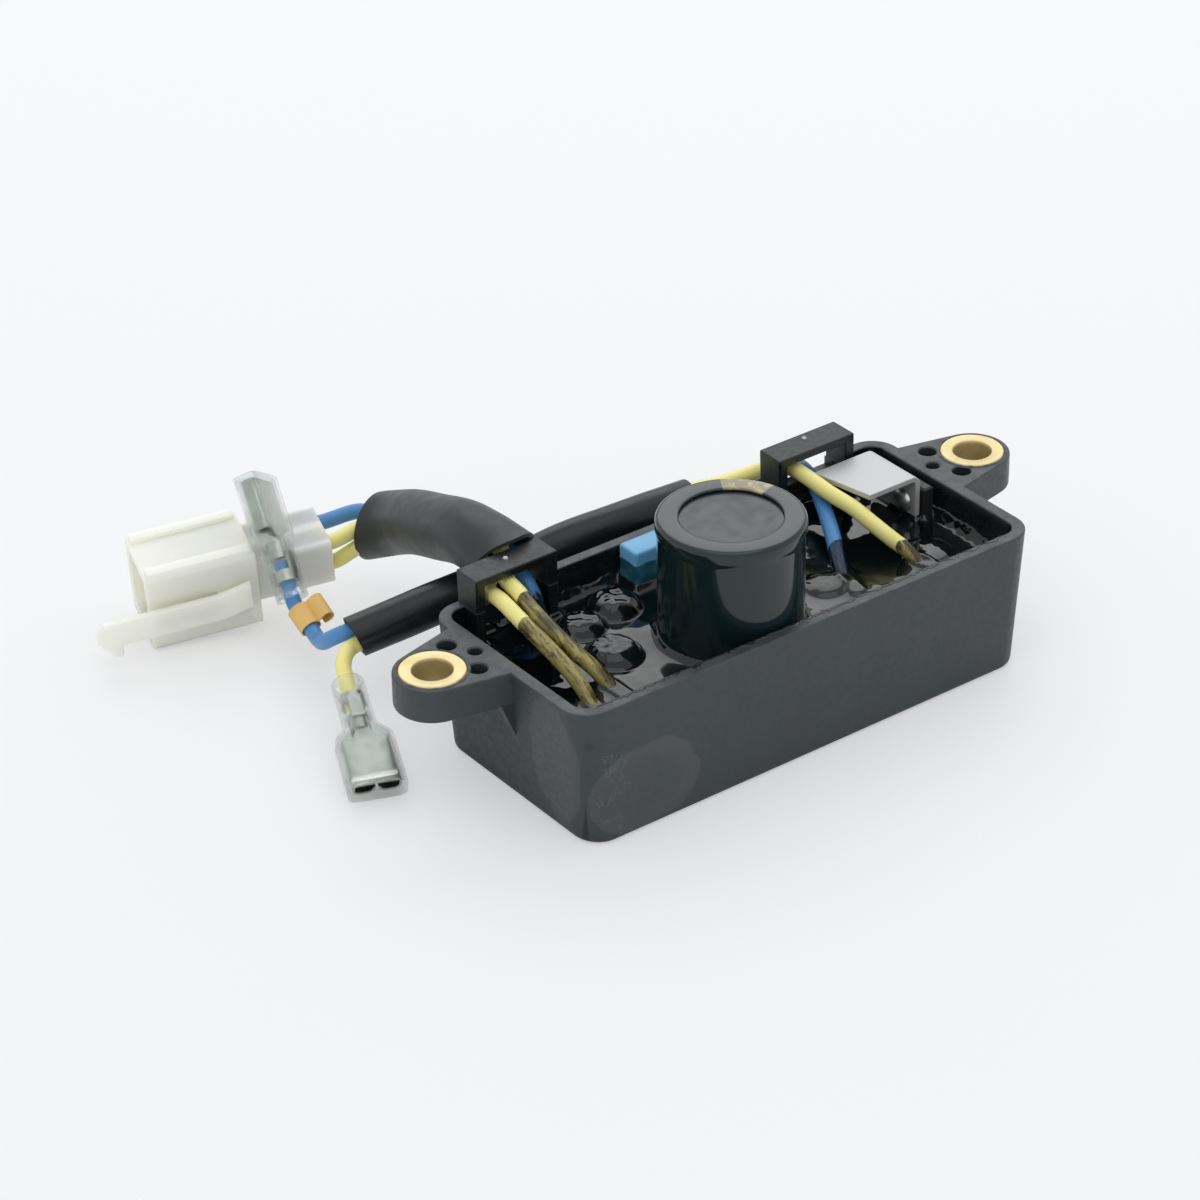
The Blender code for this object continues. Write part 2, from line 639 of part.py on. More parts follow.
def capacitor_profile():
    base = BOARD_TOP + CLEARANCE
    radius, groove = CAN_RADIUS, CAN_RADIUS - CAN_GROOVE
    levels = [base + level for level in CAN_GROOVE_LEVELS]
    return [(0, CAN_TOP), (radius - CAN_EDGE, CAN_TOP), (radius, CAN_TOP - CAN_EDGE), (radius, levels[3]),
            (groove, levels[2]), (groove, levels[1]), (radius, levels[0]), (radius, base + CAN_FOOT),
            (radius - CAN_FOOT, base), (0, base)]


def capacitor_sleeve_profile():
    inner, outer = CAN_RADIUS + CLEARANCE, CAN_RADIUS + CLEARANCE + SLEEVE_WALL
    base = BOARD_TOP + 2 * CLEARANCE
    shoulder = CAN_TOP + CLEARANCE
    edge = CROWN_EDGE
    top, wall = CROWN_TOP, SLEEVE_WALL
    crown = CROWN_RADIUS
    band = top - edge - CROWN_BAND
    outside = [(LIP_RADIUS, top), (crown - edge, top), (crown - 0.3 * edge, top - 0.3 * edge),
               (crown, top - edge), (crown, band), (outer, band - 2 * wall), (outer, base)]
    inside = [(inner, base), (inner, shoulder), (crown - wall, band), (crown - wall, top - edge),
              (crown - wall - 0.3 * edge, top - wall - 0.2 * edge), (crown - edge, top - wall),
              (LIP_RADIUS, top - wall)]
    return outside + inside


def capacitor_disc_profile():
    gap, wall, edge = CLEARANCE, SLEEVE_WALL, CROWN_EDGE
    radius = CROWN_RADIUS - wall - gap
    base = CAN_TOP + CLEARANCE
    top = CROWN_TOP - wall - gap
    return [(0, top), (radius - edge, top), (radius - 0.3 * edge, top - 0.3 * edge),
            (radius, top - edge + gap), (radius, top - edge), (CAN_RADIUS - gap, base), (0, base)]


def film_solid(gap):
    back = BOX_WIDTH / 2 - BACK_WALL - CLEARANCE - FILM_LEAN
    low = BOARD_TOP + CLEARANCE
    return block((FILM_LEFT - gap, back - FILM_WIDTH - gap, low - gap),
                 (FILM_LEFT + FILM_LENGTH + gap, back + gap, low + FILM_HEIGHT))


# Bent plate: a rounded angle in profile whose left edge runs a little askew
def heat_sink():
    shape = bmesh.new()
    top, outer = SINK_TOP, SINK_OUTER
    bend = [(outer - SINK_BEND + SINK_BEND * sin(step * pi / 8),
             top - SINK_BEND + SINK_BEND * cos(step * pi / 8)) for step in range(5)]
    profile = [(SINK_LEFT_FRONT, top), *bend, (outer, SINK_FOOT)]
    line = [shape.verts.new((x, SINK_FRONT, z)) for x, z in profile]
    edges = [shape.edges.new(pair) for pair in zip(line, line[1:])]
    pushed = bmesh.ops.extrude_edge_only(shape, edges=edges)
    moved = [item for item in pushed["geom"] if isinstance(item, bmesh.types.BMVert)]
    bmesh.ops.translate(shape, vec=(0, SINK_BACK - SINK_FRONT, 0), verts=moved)
    for vertex in moved:
        if abs(vertex.co.x - SINK_LEFT_FRONT) < 1e-6:
            vertex.co.x = SINK_LEFT_BACK
    made = place("heat_sink", shape, ALUMINIUM)
    wall = shell(made, SINK_THICKNESS)
    wall.offset = 1.0 if made.data.polygons[0].normal.z < 0 else -1.0
    hole = cylinder(RIVET_PLACE, RIVET_DIAMETER / 2 + CLEARANCE, SINK_OUTER - 3 * SINK_THICKNESS,
                    SINK_OUTER + SINK_THICKNESS, "X", FINE_STEPS)
    cut(made, place("rivet_hole", hole))
    return made


def rivet():
    inner = SINK_OUTER - SINK_THICKNESS - CLEARANCE
    outer = SINK_OUTER + CLEARANCE + TRANSISTOR_THICKNESS + CLEARANCE
    crown = inner - RIVET_HEAD_HEIGHT
    shank = cylinder(RIVET_PLACE, RIVET_DIAMETER / 2, (crown + inner) / 2, outer, "X", FINE_STEPS)
    made = place("heat_sink_rivet", shank, ALUMINIUM)
    head = cylinder(RIVET_PLACE, RIVET_HEAD / 2, crown, inner, "X", FINE_STEPS)
    round_edges(head, lambda edge: all(abs(vertex.co.x - crown) < 1e-6 for vertex in edge.verts),
                RIVET_HEAD_HEIGHT / 2, 2)
    join(made, place("rivet_head", head))
    return made


def transistor_solid(gap):
    left = SINK_OUTER + CLEARANCE
    low = SINK_FOOT + CLEARANCE
    middle = RIVET_PLACE[0] + TRANSISTOR_SHIFT
    return block((left - gap, middle - TRANSISTOR_WIDTH / 2 - gap, low - gap),
                 (left + TRANSISTOR_THICKNESS + gap, middle + TRANSISTOR_WIDTH / 2 + gap,
                  low + TRANSISTOR_HEIGHT))


def transistor():
    shape = transistor_solid(0)
    top = max(vertex.co.z for vertex in shape.verts)
    round_edges(shape, level_at(top), SMALL_EDGE, 1)
    made = place("power_transistor", shape, COMPONENT)
    cut(made, place("transistor_hole", cylinder(RIVET_PLACE, RIVET_DIAMETER / 2 + CLEARANCE, SINK_OUTER,
                                                SINK_OUTER + 2 * TRANSISTOR_THICKNESS, "X", FINE_STEPS)))
    return made


# A low can with a rounded top
def low_can(number, centre, diameter, top):
    radius = diameter / 2
    base = BOARD_TOP + CLEARANCE
    edge = 0.15 * diameter
    profile = [(0, top), (radius - edge, top), (radius - 0.3 * edge, top - 0.3 * edge), (radius, top - edge),
               (radius, base), (0, base)]
    return turned(f"small_capacitor_{number}", profile, centre, COMPONENT, SMALL_STEPS)


# An axial part, turned as one solid along X and laid on the board: its body and the stub of wire at each end
def axial(name, part, skin):
    across, depth, length, diameter, turn = part
    radius, wire, edge = diameter / 2, AXIAL_WIRE / 2, SMALL_EDGE
    end, tip = length / 2, length / 2 + AXIAL_REACH
    profile = [(0, tip), (wire, tip), (wire, end), (radius - edge, end), (radius, end - edge),
               (radius, edge - end), (radius - edge, -end), (wire, -end), (wire, -tip), (0, -tip)]
    made = turned(name, profile, (0, 0), skin, 12)
    made.rotation_euler = (0, radians(90), radians(turn))
    made.location = (across, depth, BOARD_TOP + CLEARANCE + radius)
    return made


def board():
    return place("circuit_board", board_solid(0), LAMINATE)


# Resin: the hollow of the box up to its level, less the board and everything that stands in it
def resin(leads):
    made = place("potting_resin", hollow_solid(CLEARANCE, FLOOR + CLEARANCE, RESIN_TOP), RESIN)
    gap = CLEARANCE
    inside = BOARD_TOP - BOARD_THICKNESS / 2
    sockets = [("board_void", board_solid(gap))]
    wall = BOX_LENGTH / 2
    reach = wall - END_WALL - END_TAPER - LEDGE_REACH - gap
    for side, word in ((-1, "left"), (1, "right")):
        low, high = sorted((side * wall, side * reach))
        sockets.append(("ledge_void_" + word, block((low, LEDGE_MIDDLE - LEDGE_WIDTH / 2 - gap, 0),
                                                    (high, LEDGE_MIDDLE + LEDGE_WIDTH / 2 + gap, inside))))
    front = BOX_WIDTH / 2 - OUTLET_DEPTH - gap
    for centre, word in zip(OUTLET_CENTRES, ("left", "right")):
        for side, hand in ((-1, "a"), (1, "b")):
            low, high = sorted((side * (OUTLET_LENGTH / 2 + gap),
                                side * (OUTLET_LENGTH / 2 - OUTLET_POST - gap)))
            sockets.append((f"post_void_{word}_{hand}",
                            block((centre + low, front, 0),
                                  (centre + high, BOX_WIDTH / 2, RESIN_TOP + OVERSHOOT))))
    above = RESIN_TOP + OVERSHOOT
    wide = CAN_RADIUS + 2 * gap + SLEEVE_WALL
    sockets.append(("capacitor_void", cylinder(CAN_CENTRE, wide, inside, above)))
    sockets.append(("film_void", film_solid(gap)))
    sockets.append(("sink_void", block((SINK_OUTER - SINK_THICKNESS - gap, SINK_FRONT - gap, inside),
                                       (SINK_OUTER + gap, SINK_BACK + gap, above))))
    sockets.append(("transistor_void", transistor_solid(gap)))
    for number, (centre, diameter, _) in enumerate(LOW_CANS, 1):
        sockets.append((f"low_can_void_{number}",
                        cylinder(centre, diameter / 2 + gap, inside, above, steps=SMALL_STEPS)))
    level = BOARD_TOP + gap + VARISTOR_THICKNESS
    sockets.append(("varistor_void", cylinder(VARISTOR_CENTRE, VARISTOR_DIAMETER / 2 + gap, inside,
                                              level + gap, steps=SMALL_STEPS)))
    for number, part in enumerate(DIODES + RESISTORS, 1):
        across, depth, length, diameter, turn = part
        half = Vector((length / 2 + AXIAL_REACH + gap, diameter / 2 + gap))
        if turn:
            half = half.yx
        sockets.append((f"axial_void_{number}",
                        block((across - half.x, depth - half.y, inside),
                              (across + half.x, depth + half.y, BOARD_TOP + 2 * gap + diameter))))
    for name, path in leads:
        sunk = [point for point in path if point.z < RESIN_TOP + LEAD_DIAMETER]
        lead_in = [2 * sunk[0] - sunk[1], *sunk[1:], 2 * sunk[-1] - sunk[-2]]
        lead_in[0] = sunk[0] + (sunk[0] - sunk[1]).normalized() * gap
        sockets.append((name + "_void", tube_mesh(lead_in, LEAD_DIAMETER + 2 * gap)))
        low = min(point.z for point in sunk)
        flat = [point for point in sunk if point.z < low + LEAD_DIAMETER / 2]
        sockets.append((name + "_trench", block((min(p.x for p in flat) - LEAD_DIAMETER / 4,
                                                 min(p.y for p in flat), inside),
                                                (max(p.x for p in flat) + LEAD_DIAMETER / 4,
                                                 max(p.y for p in flat), low))))
    cut(made, *[place(name, shape) for name, shape in sockets])
    return made


# Connector, modelled along X from its mating end and then laid as it lies
def connector_matrix():
    turn = Euler([radians(angle) for angle in CONNECTOR_TURN]).to_matrix().to_4x4()
    return Matrix.Translation(CONNECTOR_CORNER) @ turn


def in_connector(x, y, z):
    return connector_matrix() @ Vector((x, y, z))


# Middle of a way through the rear block: across 0 or 1 from the back, up 0 or 1 from the floor
def way(across, up):
    middle = -BLOCK_INSET - BLOCK_WIDTH / 2
    height = BLOCK_RISE + BLOCK_HEIGHT / 2
    return middle - (across - 0.5) * WAY_PITCH_ACROSS, height + (up - 0.5) * WAY_PITCH_UP


# A thumb arm beside the hood, with a hook at its free end
def latch_arm():
    low, high = ARM_RISE, ARM_RISE + ARM_HEIGHT
    tip, root = -ARM_REACH, ARM_ROOT
    nose = ARM_HEIGHT / 4
    point = HOOK_LENGTH * 0.65
    outline = [(tip, low + nose), (tip + point, low - HOOK_DROP), (tip + HOOK_LENGTH, low - HOOK_DROP),
               (tip + HOOK_LENGTH, low), (root, low), (root + ARM_FOOT, low + nose),
               (root + ARM_FOOT, high + nose), (root, high), (tip + nose, high), (tip, high - nose)]
    outer = -HOOD_WIDTH - ARM_GAP - ARM_THICKNESS
    return prism(outline, outer, outer + ARM_THICKNESS, "Y")


def connector():
    shape = block((0, -HOOD_WIDTH, 0), (HOOD_LENGTH, 0, HOOD_HEIGHT))
    round_edges(shape, lambda edge: abs((edge.verts[1].co - edge.verts[0].co).x) > HOOD_LENGTH / 2,
                HOOD_EDGE, 2)
    made = place("connector_housing", shape, NYLON)
    low = (HOOD_LENGTH - HOOD_BACK / 2, -BLOCK_INSET - BLOCK_WIDTH, BLOCK_RISE)
    high = (HOOD_LENGTH + BLOCK_LENGTH, -BLOCK_INSET, BLOCK_RISE + BLOCK_HEIGHT)
    rear = block(low, high)
    round_edges(rear, lambda edge: abs((edge.verts[1].co - edge.verts[0].co).x) > BLOCK_LENGTH / 2,
                HOOD_EDGE / 2, 1)
    arm = place("latch_arm", latch_arm())
    root_block = block((ARM_ROOT - RAIL_INSET, -HOOD_WIDTH - ARM_GAP - ARM_THICKNESS / 2,
                        ARM_RISE + RAIL_INSET),
                       (ARM_ROOT + ARM_FOOT - RAIL_INSET, -HOOD_WIDTH + HOOD_WALL / 2,
                        ARM_RISE + ARM_HEIGHT - RAIL_INSET))
    rails = []
    for number, depth in enumerate((-RAIL_WIDTH - RAIL_INSET, -HOOD_WIDTH + RAIL_INSET)):
        rail = block((RAIL_INSET, depth, HOOD_HEIGHT - HOOD_WALL / 2),
                     (HOOD_LENGTH - RAIL_INSET, depth + RAIL_WIDTH, HOOD_HEIGHT + RAIL_HEIGHT))
        rails.append(place(f"rail_{number}", rail))
    join(made, place("rear_block", rear), arm, place("latch_root", root_block), *rails)
    cut(made, place("hood_cavity", block((-OVERSHOOT, -HOOD_WIDTH + HOOD_WALL, HOOD_WALL),
                                         (HOOD_LENGTH - HOOD_BACK, -HOOD_WALL, HOOD_HEIGHT - HOOD_WALL))))
    for across in (0, 1):
        for up in (0, 1):
            depth, height = way(across, up)
            half = WAY_SIZE / 2
            passage = block((HOOD_LENGTH - 2 * HOOD_BACK, depth - half, height - half),
                            (HOOD_LENGTH + BLOCK_LENGTH + OVERSHOOT, depth + half, height + half))
            cut(made, place(f"way_{across}_{up}", passage))
    for item in (made, *[step.object for step in made.modifiers]):
        item.matrix_world = connector_matrix()
    return made


# A blade with the square body that grips its lead
def connector_terminal(name, across, up):
    depth, height = way(across, up)
    half = WAY_SIZE / 2 - CLEARANCE
    grip_end = HOOD_LENGTH + BLOCK_LENGTH - LEAD_IN_WAY - CLEARANCE
    made = place(name, block((HOOD_LENGTH - HOOD_BACK / 2, depth - half, height - half),
                             (grip_end, depth + half, height + half)), TINNED)
    blade = block((BLADE_SETBACK, depth - BLADE_WIDTH / 2 + CLEARANCE, height - BLADE_THICKNESS / 2),
                  (HOOD_LENGTH, depth + BLADE_WIDTH / 2 - CLEARANCE, height + BLADE_THICKNESS / 2))
    join(made, place(name + "_blade", blade))
    for item in (made, made.modifiers[0].object):
        item.matrix_world = connector_matrix()
    return made


# Frame of a receptacle: X from its wire end to its mouth, Y across, Z through its thickness
def receptacle_matrix(mouth, heading, roll):
    along = Vector(heading).normalized()
    across = Vector((0, 0, 1)).cross(along).normalized()
    turn = Matrix((along, across, along.cross(across))).transposed()
    turn = turn @ Matrix.Rotation(radians(roll), 3, "X")
    start = Vector(mouth) - along * RECEPTACLE_LENGTH
    return Matrix.Translation(start) @ turn.to_4x4()


# Half of the curled sheet's section, from the middle of its base round to its free edge
def curl_half():
    wide = RECEPTACLE_WIDTH / 2 - RECEPTACLE_SHEET / 2
    deep = RECEPTACLE_HEIGHT / 2 - RECEPTACLE_SHEET / 2
    return [(0.84 * wide, -deep), (wide, -0.62 * deep), (wide, 0.35 * deep), (0.80 * wide, 0.95 * deep),
            (0.45 * wide, deep), (0.18 * wide, 0.72 * deep), (0.11 * wide, 0.10 * deep)]


def receptacle(name, matrix):
    half = curl_half()
    section = [(-y, z) for y, z in reversed(half)] + half
    shape = bmesh.new()
    start = RECEPTACLE_LENGTH - CURL_LENGTH
    line = [shape.verts.new((start, y, z)) for y, z in section]
    edges = [shape.edges.new(pair) for pair in zip(line, line[1:])]
    pushed = bmesh.ops.extrude_edge_only(shape, edges=edges)
    moved = [item for item in pushed["geom"] if isinstance(item, bmesh.types.BMVert)]
    bmesh.ops.translate(shape, vec=(CURL_LENGTH, 0, 0), verts=moved)
    made = place(name, shape, TINNED)
    wall = shell(made, RECEPTACLE_SHEET)
    wall.offset = 0.0
    base = -RECEPTACLE_HEIGHT / 2
    narrow, wide = NECK_WIDTH / 2, RECEPTACLE_WIDTH * 0.3
    neck = prism([((BARREL_START + BARREL_END) / 2, -narrow), (start + OVERSHOOT, -wide),
                  (start + OVERSHOOT, wide), ((BARREL_START + BARREL_END) / 2, narrow)],
                 base + RECEPTACLE_SHEET / 8, base + RECEPTACLE_SHEET * 7 / 8)
    grip_radius = LEAD_DIAMETER / 2 + CLEARANCE + RECEPTACLE_SHEET
    grip = cylinder((0, 0), grip_radius, GRIP_START, GRIP_START + GRIP_LENGTH, "X", FINE_STEPS)
    barrel = cylinder((0, 0), BARREL_RADIUS, BARREL_START, BARREL_END, "X", FINE_STEPS)
    bore = cylinder((0, 0), grip_radius - RECEPTACLE_SHEET, GRIP_START - OVERSHOOT, BARREL_START - CLEARANCE,
                    "X", FINE_STEPS)
    strip = block((GRIP_START + GRIP_LENGTH / 2, -narrow, -grip_radius + RECEPTACLE_SHEET / 8),
                  (BARREL_START + OVERSHOOT, narrow, -BARREL_RADIUS + RECEPTACLE_SHEET / 2))
    join(made, place(name + "_neck", neck), place(name + "_barrel", barrel), place(name + "_strip", strip),
         place(name + "_grip", grip))
    cut(made, place(name + "_bore", bore))
    for item in (made, *[step.object for step in made.modifiers if step.type == "BOOLEAN"]):
        item.matrix_world = matrix
    return made


# Clear cover: round over the wire, opening to a flat mouth over the receptacle
def cover(name, matrix):
    shape = bmesh.new()
    round_radius = LEAD_DIAMETER / 2 + 2 * CLEARANCE + RECEPTACLE_SHEET + COVER_WALL
    shoulder = RECEPTACLE_LENGTH - CURL_LENGTH
    stations = ((-COVER_TAIL, 0.0), (0.75 * BARREL_END, 0.0), (BARREL_END, 0.35), (shoulder - CLEARANCE, 1.0),
                (RECEPTACLE_LENGTH + COVER_NOSE, 1.0))
    steps = 20
    rings = []
    for x, share in stations:
        ring = []
        for step in range(steps):
            angle = tau * (step + 0.5) / steps
            power = 1.0 - 0.62 * share
            wide = round_radius + (COVER_WIDTH / 2 - round_radius) * share
            deep = round_radius + (COVER_HEIGHT / 2 - round_radius) * share
            y = wide * abs(cos(angle)) ** power * (1 if cos(angle) > 0 else -1)
            z = deep * abs(sin(angle)) ** power * (1 if sin(angle) > 0 else -1)
            ring.append(shape.verts.new((x, y, z)))
        rings.append(ring)
    for first, second in zip(rings, rings[1:]):
        for step in range(steps):
            after = (step + 1) % steps
            shape.faces.new((first[step], first[after], second[after], second[step]))
    made = place(name, shape, CLEAR)
    shell(made, COVER_WALL)
    made.matrix_world = matrix
    return made


# Marker: a folded strip with one loop round the lead and a second loop pressed beside it
def marker(path):
    radius = LEAD_DIAMETER / 2 + CLEARANCE + MARKER_SHEET / 2
    loop = [(radius * cos(radians(angle)), radius * sin(radians(angle))) for angle in range(20, 341, 20)]
    far = radius + MARKER_SECOND
    half = MARKER_SECOND / 2
    second = [(far - half, -half), (far - 0.3 * half, -0.8 * half), (far, 0.0),
              (far - 0.3 * half, 0.8 * half), (far - half, half)]
    section = loop + second + [(radius + 2 * MARKER_SHEET, 0.8 * half)]
    shape = bmesh.new()
    line = [shape.verts.new((y, z, -MARKER_LENGTH / 2)) for y, z in section]
    edges = [shape.edges.new(pair) for pair in zip(line, line[1:])]
    pushed = bmesh.ops.extrude_edge_only(shape, edges=edges)
    moved = [item for item in pushed["geom"] if isinstance(item, bmesh.types.BMVert)]
    bmesh.ops.translate(shape, vec=(0, 0, MARKER_LENGTH), verts=moved)
    made = place("marker_tag", shape, ORANGE)
    wall = shell(made, MARKER_SHEET)
    wall.offset = 0.0
    before, middle, after = path
    along = (after - before).normalized()
    side = Vector(MARKER_SIDE)
    side = (side - along * side.dot(along)).normalized()
    turn = Matrix((side, along.cross(side), along)).transposed()
    made.matrix_world = Matrix.Translation(middle + along * MARKER_SLIDE) @ turn.to_4x4()
    return made


# Build
housing()
bushing(-1, "bushing_left")
bushing(1, "bushing_right")
board()
turned("capacitor_can", capacitor_profile(), CAN_CENTRE, ALUMINIUM)
turned("capacitor_sleeve", capacitor_sleeve_profile(), CAN_CENTRE, CAN_SKIN)
turned("capacitor_disc", capacitor_disc_profile(), CAN_CENTRE, CAN_SKIN)
film = place("film_capacitor", film_solid(0), FILM_BOX)
soften(film, SMALL_EDGE, 1)
heat_sink()
rivet()
transistor()
for can_number, (can_centre, can_diameter, can_top) in enumerate(LOW_CANS, 1):
    low_can(can_number, can_centre, can_diameter, can_top)
varistor = place("varistor", cylinder(VARISTOR_CENTRE, VARISTOR_DIAMETER / 2, BOARD_TOP + CLEARANCE,
                                      BOARD_TOP + CLEARANCE + VARISTOR_THICKNESS, steps=SMALL_STEPS),
                 DISC_COAT)
soften(varistor, VARISTOR_EDGE, 2)
for diode_number, diode_part in enumerate(DIODES, 1):
    axial(f"diode_{diode_number}", diode_part, COMPONENT)
for resistor_number, resistor_part in enumerate(RESISTORS, 1):
    axial(f"resistor_{resistor_number}", resistor_part, DISC_COAT)

large_path = smooth(LARGE_SLEEVE_ROUTE)
thin_path = smooth(THIN_SLEEVE_ROUTE)


def to_connector(across, up, *outside):
    depth, height = way(across, up)
    rear = HOOD_LENGTH + BLOCK_LENGTH
    return [*outside, *[in_connector(rear + ahead, depth, height)
                        for ahead in (*LEAD_BEFORE_WAY, -LEAD_IN_WAY)]]


yellow_matrix = receptacle_matrix(YELLOW_MOUTH, YELLOW_HEADING, YELLOW_ROLL)
blue_matrix = receptacle_matrix(BLUE_MOUTH, BLUE_HEADING, BLUE_ROLL)
lead_end = BARREL_START - 2 * CLEARANCE


def to_receptacle(matrix, outside):
    return [*outside, *[matrix @ Vector((x, 0, 0)) for x in (*LEAD_BEFORE_GRIP, lead_end)]]


LEADS = {"lead_yellow_1": lead_path(YELLOW_1_INSIDE, beside(large_path, LARGE_SPREAD, 212, 215),
                                    to_connector(1, 0)),
         "lead_yellow_2": lead_path(YELLOW_2_INSIDE, beside(large_path, LARGE_MIDDLE_SPREAD, 90, 90),
                                    to_connector(1, 1)),
         "lead_blue_1": lead_path(BLUE_1_INSIDE, beside(large_path, LARGE_SPREAD, -25, 5),
                                  to_connector(0, 1, BLUE_1_OUTSIDE)),
         "lead_yellow_3": lead_path(YELLOW_3_INSIDE, beside(thin_path, THIN_SPREAD, 90, 200),
                                    to_receptacle(yellow_matrix, YELLOW_3_OUTSIDE)),
         "lead_blue_2": lead_path(BLUE_2_INSIDE, beside(thin_path, THIN_SPREAD, 270, 380),
                                  to_receptacle(blue_matrix, BLUE_2_OUTSIDE))}
for lead_name, lead_points in LEADS.items():
    tube(lead_name, lead_points, LEAD_DIAMETER, YELLOW if "yellow" in lead_name else BLUE)
resin(LEADS.items())
sleeve("sleeve_large", large_path, LARGE_SLEEVE_DIAMETER, LARGE_SLEEVE_WALL, SLEEVING)
sleeve("sleeve_thin", thin_path, THIN_SLEEVE_DIAMETER, THIN_SLEEVE_WALL, SLEEVING)
connector()
for terminal_number, (terminal_across, terminal_up) in enumerate(((1, 0), (1, 1), (0, 1)), 1):
    connector_terminal(f"connector_terminal_{terminal_number}", terminal_across, terminal_up)
receptacle("receptacle_yellow", yellow_matrix)
receptacle("receptacle_blue", blue_matrix)
cover("terminal_cover_yellow", yellow_matrix)
cover("terminal_cover_blue", blue_matrix)
blue_tail = LEADS["lead_blue_2"]
marker((blue_tail[-10], blue_tail[-8], blue_tail[-6]))
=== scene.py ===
import bmesh
import bpy
from math import atan2, cos, exp, pi, radians, sin, tau
from mathutils import Euler, Matrix, Vector, noise


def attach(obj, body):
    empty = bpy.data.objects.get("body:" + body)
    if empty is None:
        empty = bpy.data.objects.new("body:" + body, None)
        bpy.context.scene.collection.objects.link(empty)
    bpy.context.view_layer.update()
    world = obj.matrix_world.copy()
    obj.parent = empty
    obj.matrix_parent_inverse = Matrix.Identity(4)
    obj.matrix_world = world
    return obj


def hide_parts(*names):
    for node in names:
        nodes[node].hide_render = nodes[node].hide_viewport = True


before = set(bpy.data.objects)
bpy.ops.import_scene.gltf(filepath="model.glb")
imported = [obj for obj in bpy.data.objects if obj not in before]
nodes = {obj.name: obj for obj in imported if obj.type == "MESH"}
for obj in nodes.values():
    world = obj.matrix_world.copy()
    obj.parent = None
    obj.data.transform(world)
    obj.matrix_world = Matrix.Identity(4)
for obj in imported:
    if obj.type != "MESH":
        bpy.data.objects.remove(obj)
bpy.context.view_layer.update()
print("frame loaded:", len(nodes), "solids")

# All the sizes below are in millimetres and are turned to metres by mm
mm = 0.001

# Places that several pieces share: the middle of the big capacitor, and of the bore in the left and right ear
capCentre = (-5.8, -5.8)
earPlaces = {-1: (-56.0, 6.0), 1: (56.0, 6.0)}
sides = ((-1, "left"), (1, "right"))


def at(x, y, z):
    return Vector((x, y, z)) * mm


def placed(name, data):
    thing = bpy.data.objects.new(name, data)
    bpy.context.collection.objects.link(thing)
    return thing


def meshOf(name, shape):
    mesh = bpy.data.meshes.new(name)
    shape.to_mesh(mesh)
    shape.free()
    return mesh


# Camera, from the edges of the box in the photograph
cameraView = {"place": (-356.665, -444.125, 366.821), "yaw": 36.532, "pitch": 31.366, "roll": -1.0,
              "lens": 123.0, "sensor": 36.0, "nearest": 0.01}


def makeCamera(view):
    yaw, pitch, roll = (radians(view[key]) for key in ("yaw", "pitch", "roll"))
    ahead = Vector((sin(yaw) * cos(pitch), cos(yaw) * cos(pitch), -sin(pitch)))
    right = Vector((cos(yaw), -sin(yaw), 0))
    up = right.cross(ahead)
    side = right * cos(roll) + up * sin(roll)
    top = up * cos(roll) - right * sin(roll)
    data = bpy.data.cameras.new("camera")
    data.lens, data.sensor_width, data.sensor_fit = view["lens"], view["sensor"], "HORIZONTAL"
    data.clip_start = view["nearest"]
    camera = placed("camera", data)
    turn = Matrix((side, top, -ahead)).transposed().to_4x4()
    camera.matrix_world = Matrix.Translation(at(*view["place"])) @ turn
    bpy.context.scene.camera = camera


makeCamera(cameraView)
print("camera placed")


# Materials: a socket takes another node's output, or a value, where a colour is three numbers
def linkValue(tree, value, socket):
    if hasattr(value, "is_output"):
        tree.links.new(value, socket)
    elif value is not None:
        socket.default_value = (*value, 1.0) if socket.type == "RGBA" else value


def addNode(tree, kind, values, **settings):
    node = tree.nodes.new("ShaderNode" + kind)
    for key, value in settings.items():
        setattr(node, key, value)
    for key, value in values.items():
        linkValue(tree, value, node.inputs[key])
    return node


shaderInputs = {"colour": "Base Color", "rough": "Roughness", "metal": "Metallic", "ior": "IOR",
                "alpha": "Alpha", "coat": "Coat Weight", "coatRough": "Coat Roughness",
                "through": "Transmission Weight", "specular": "Specular IOR Level",
                "subsurface": "Subsurface Weight",
                "subsurfaceScale": "Subsurface Scale", "subsurfaceRadius": "Subsurface Radius"}


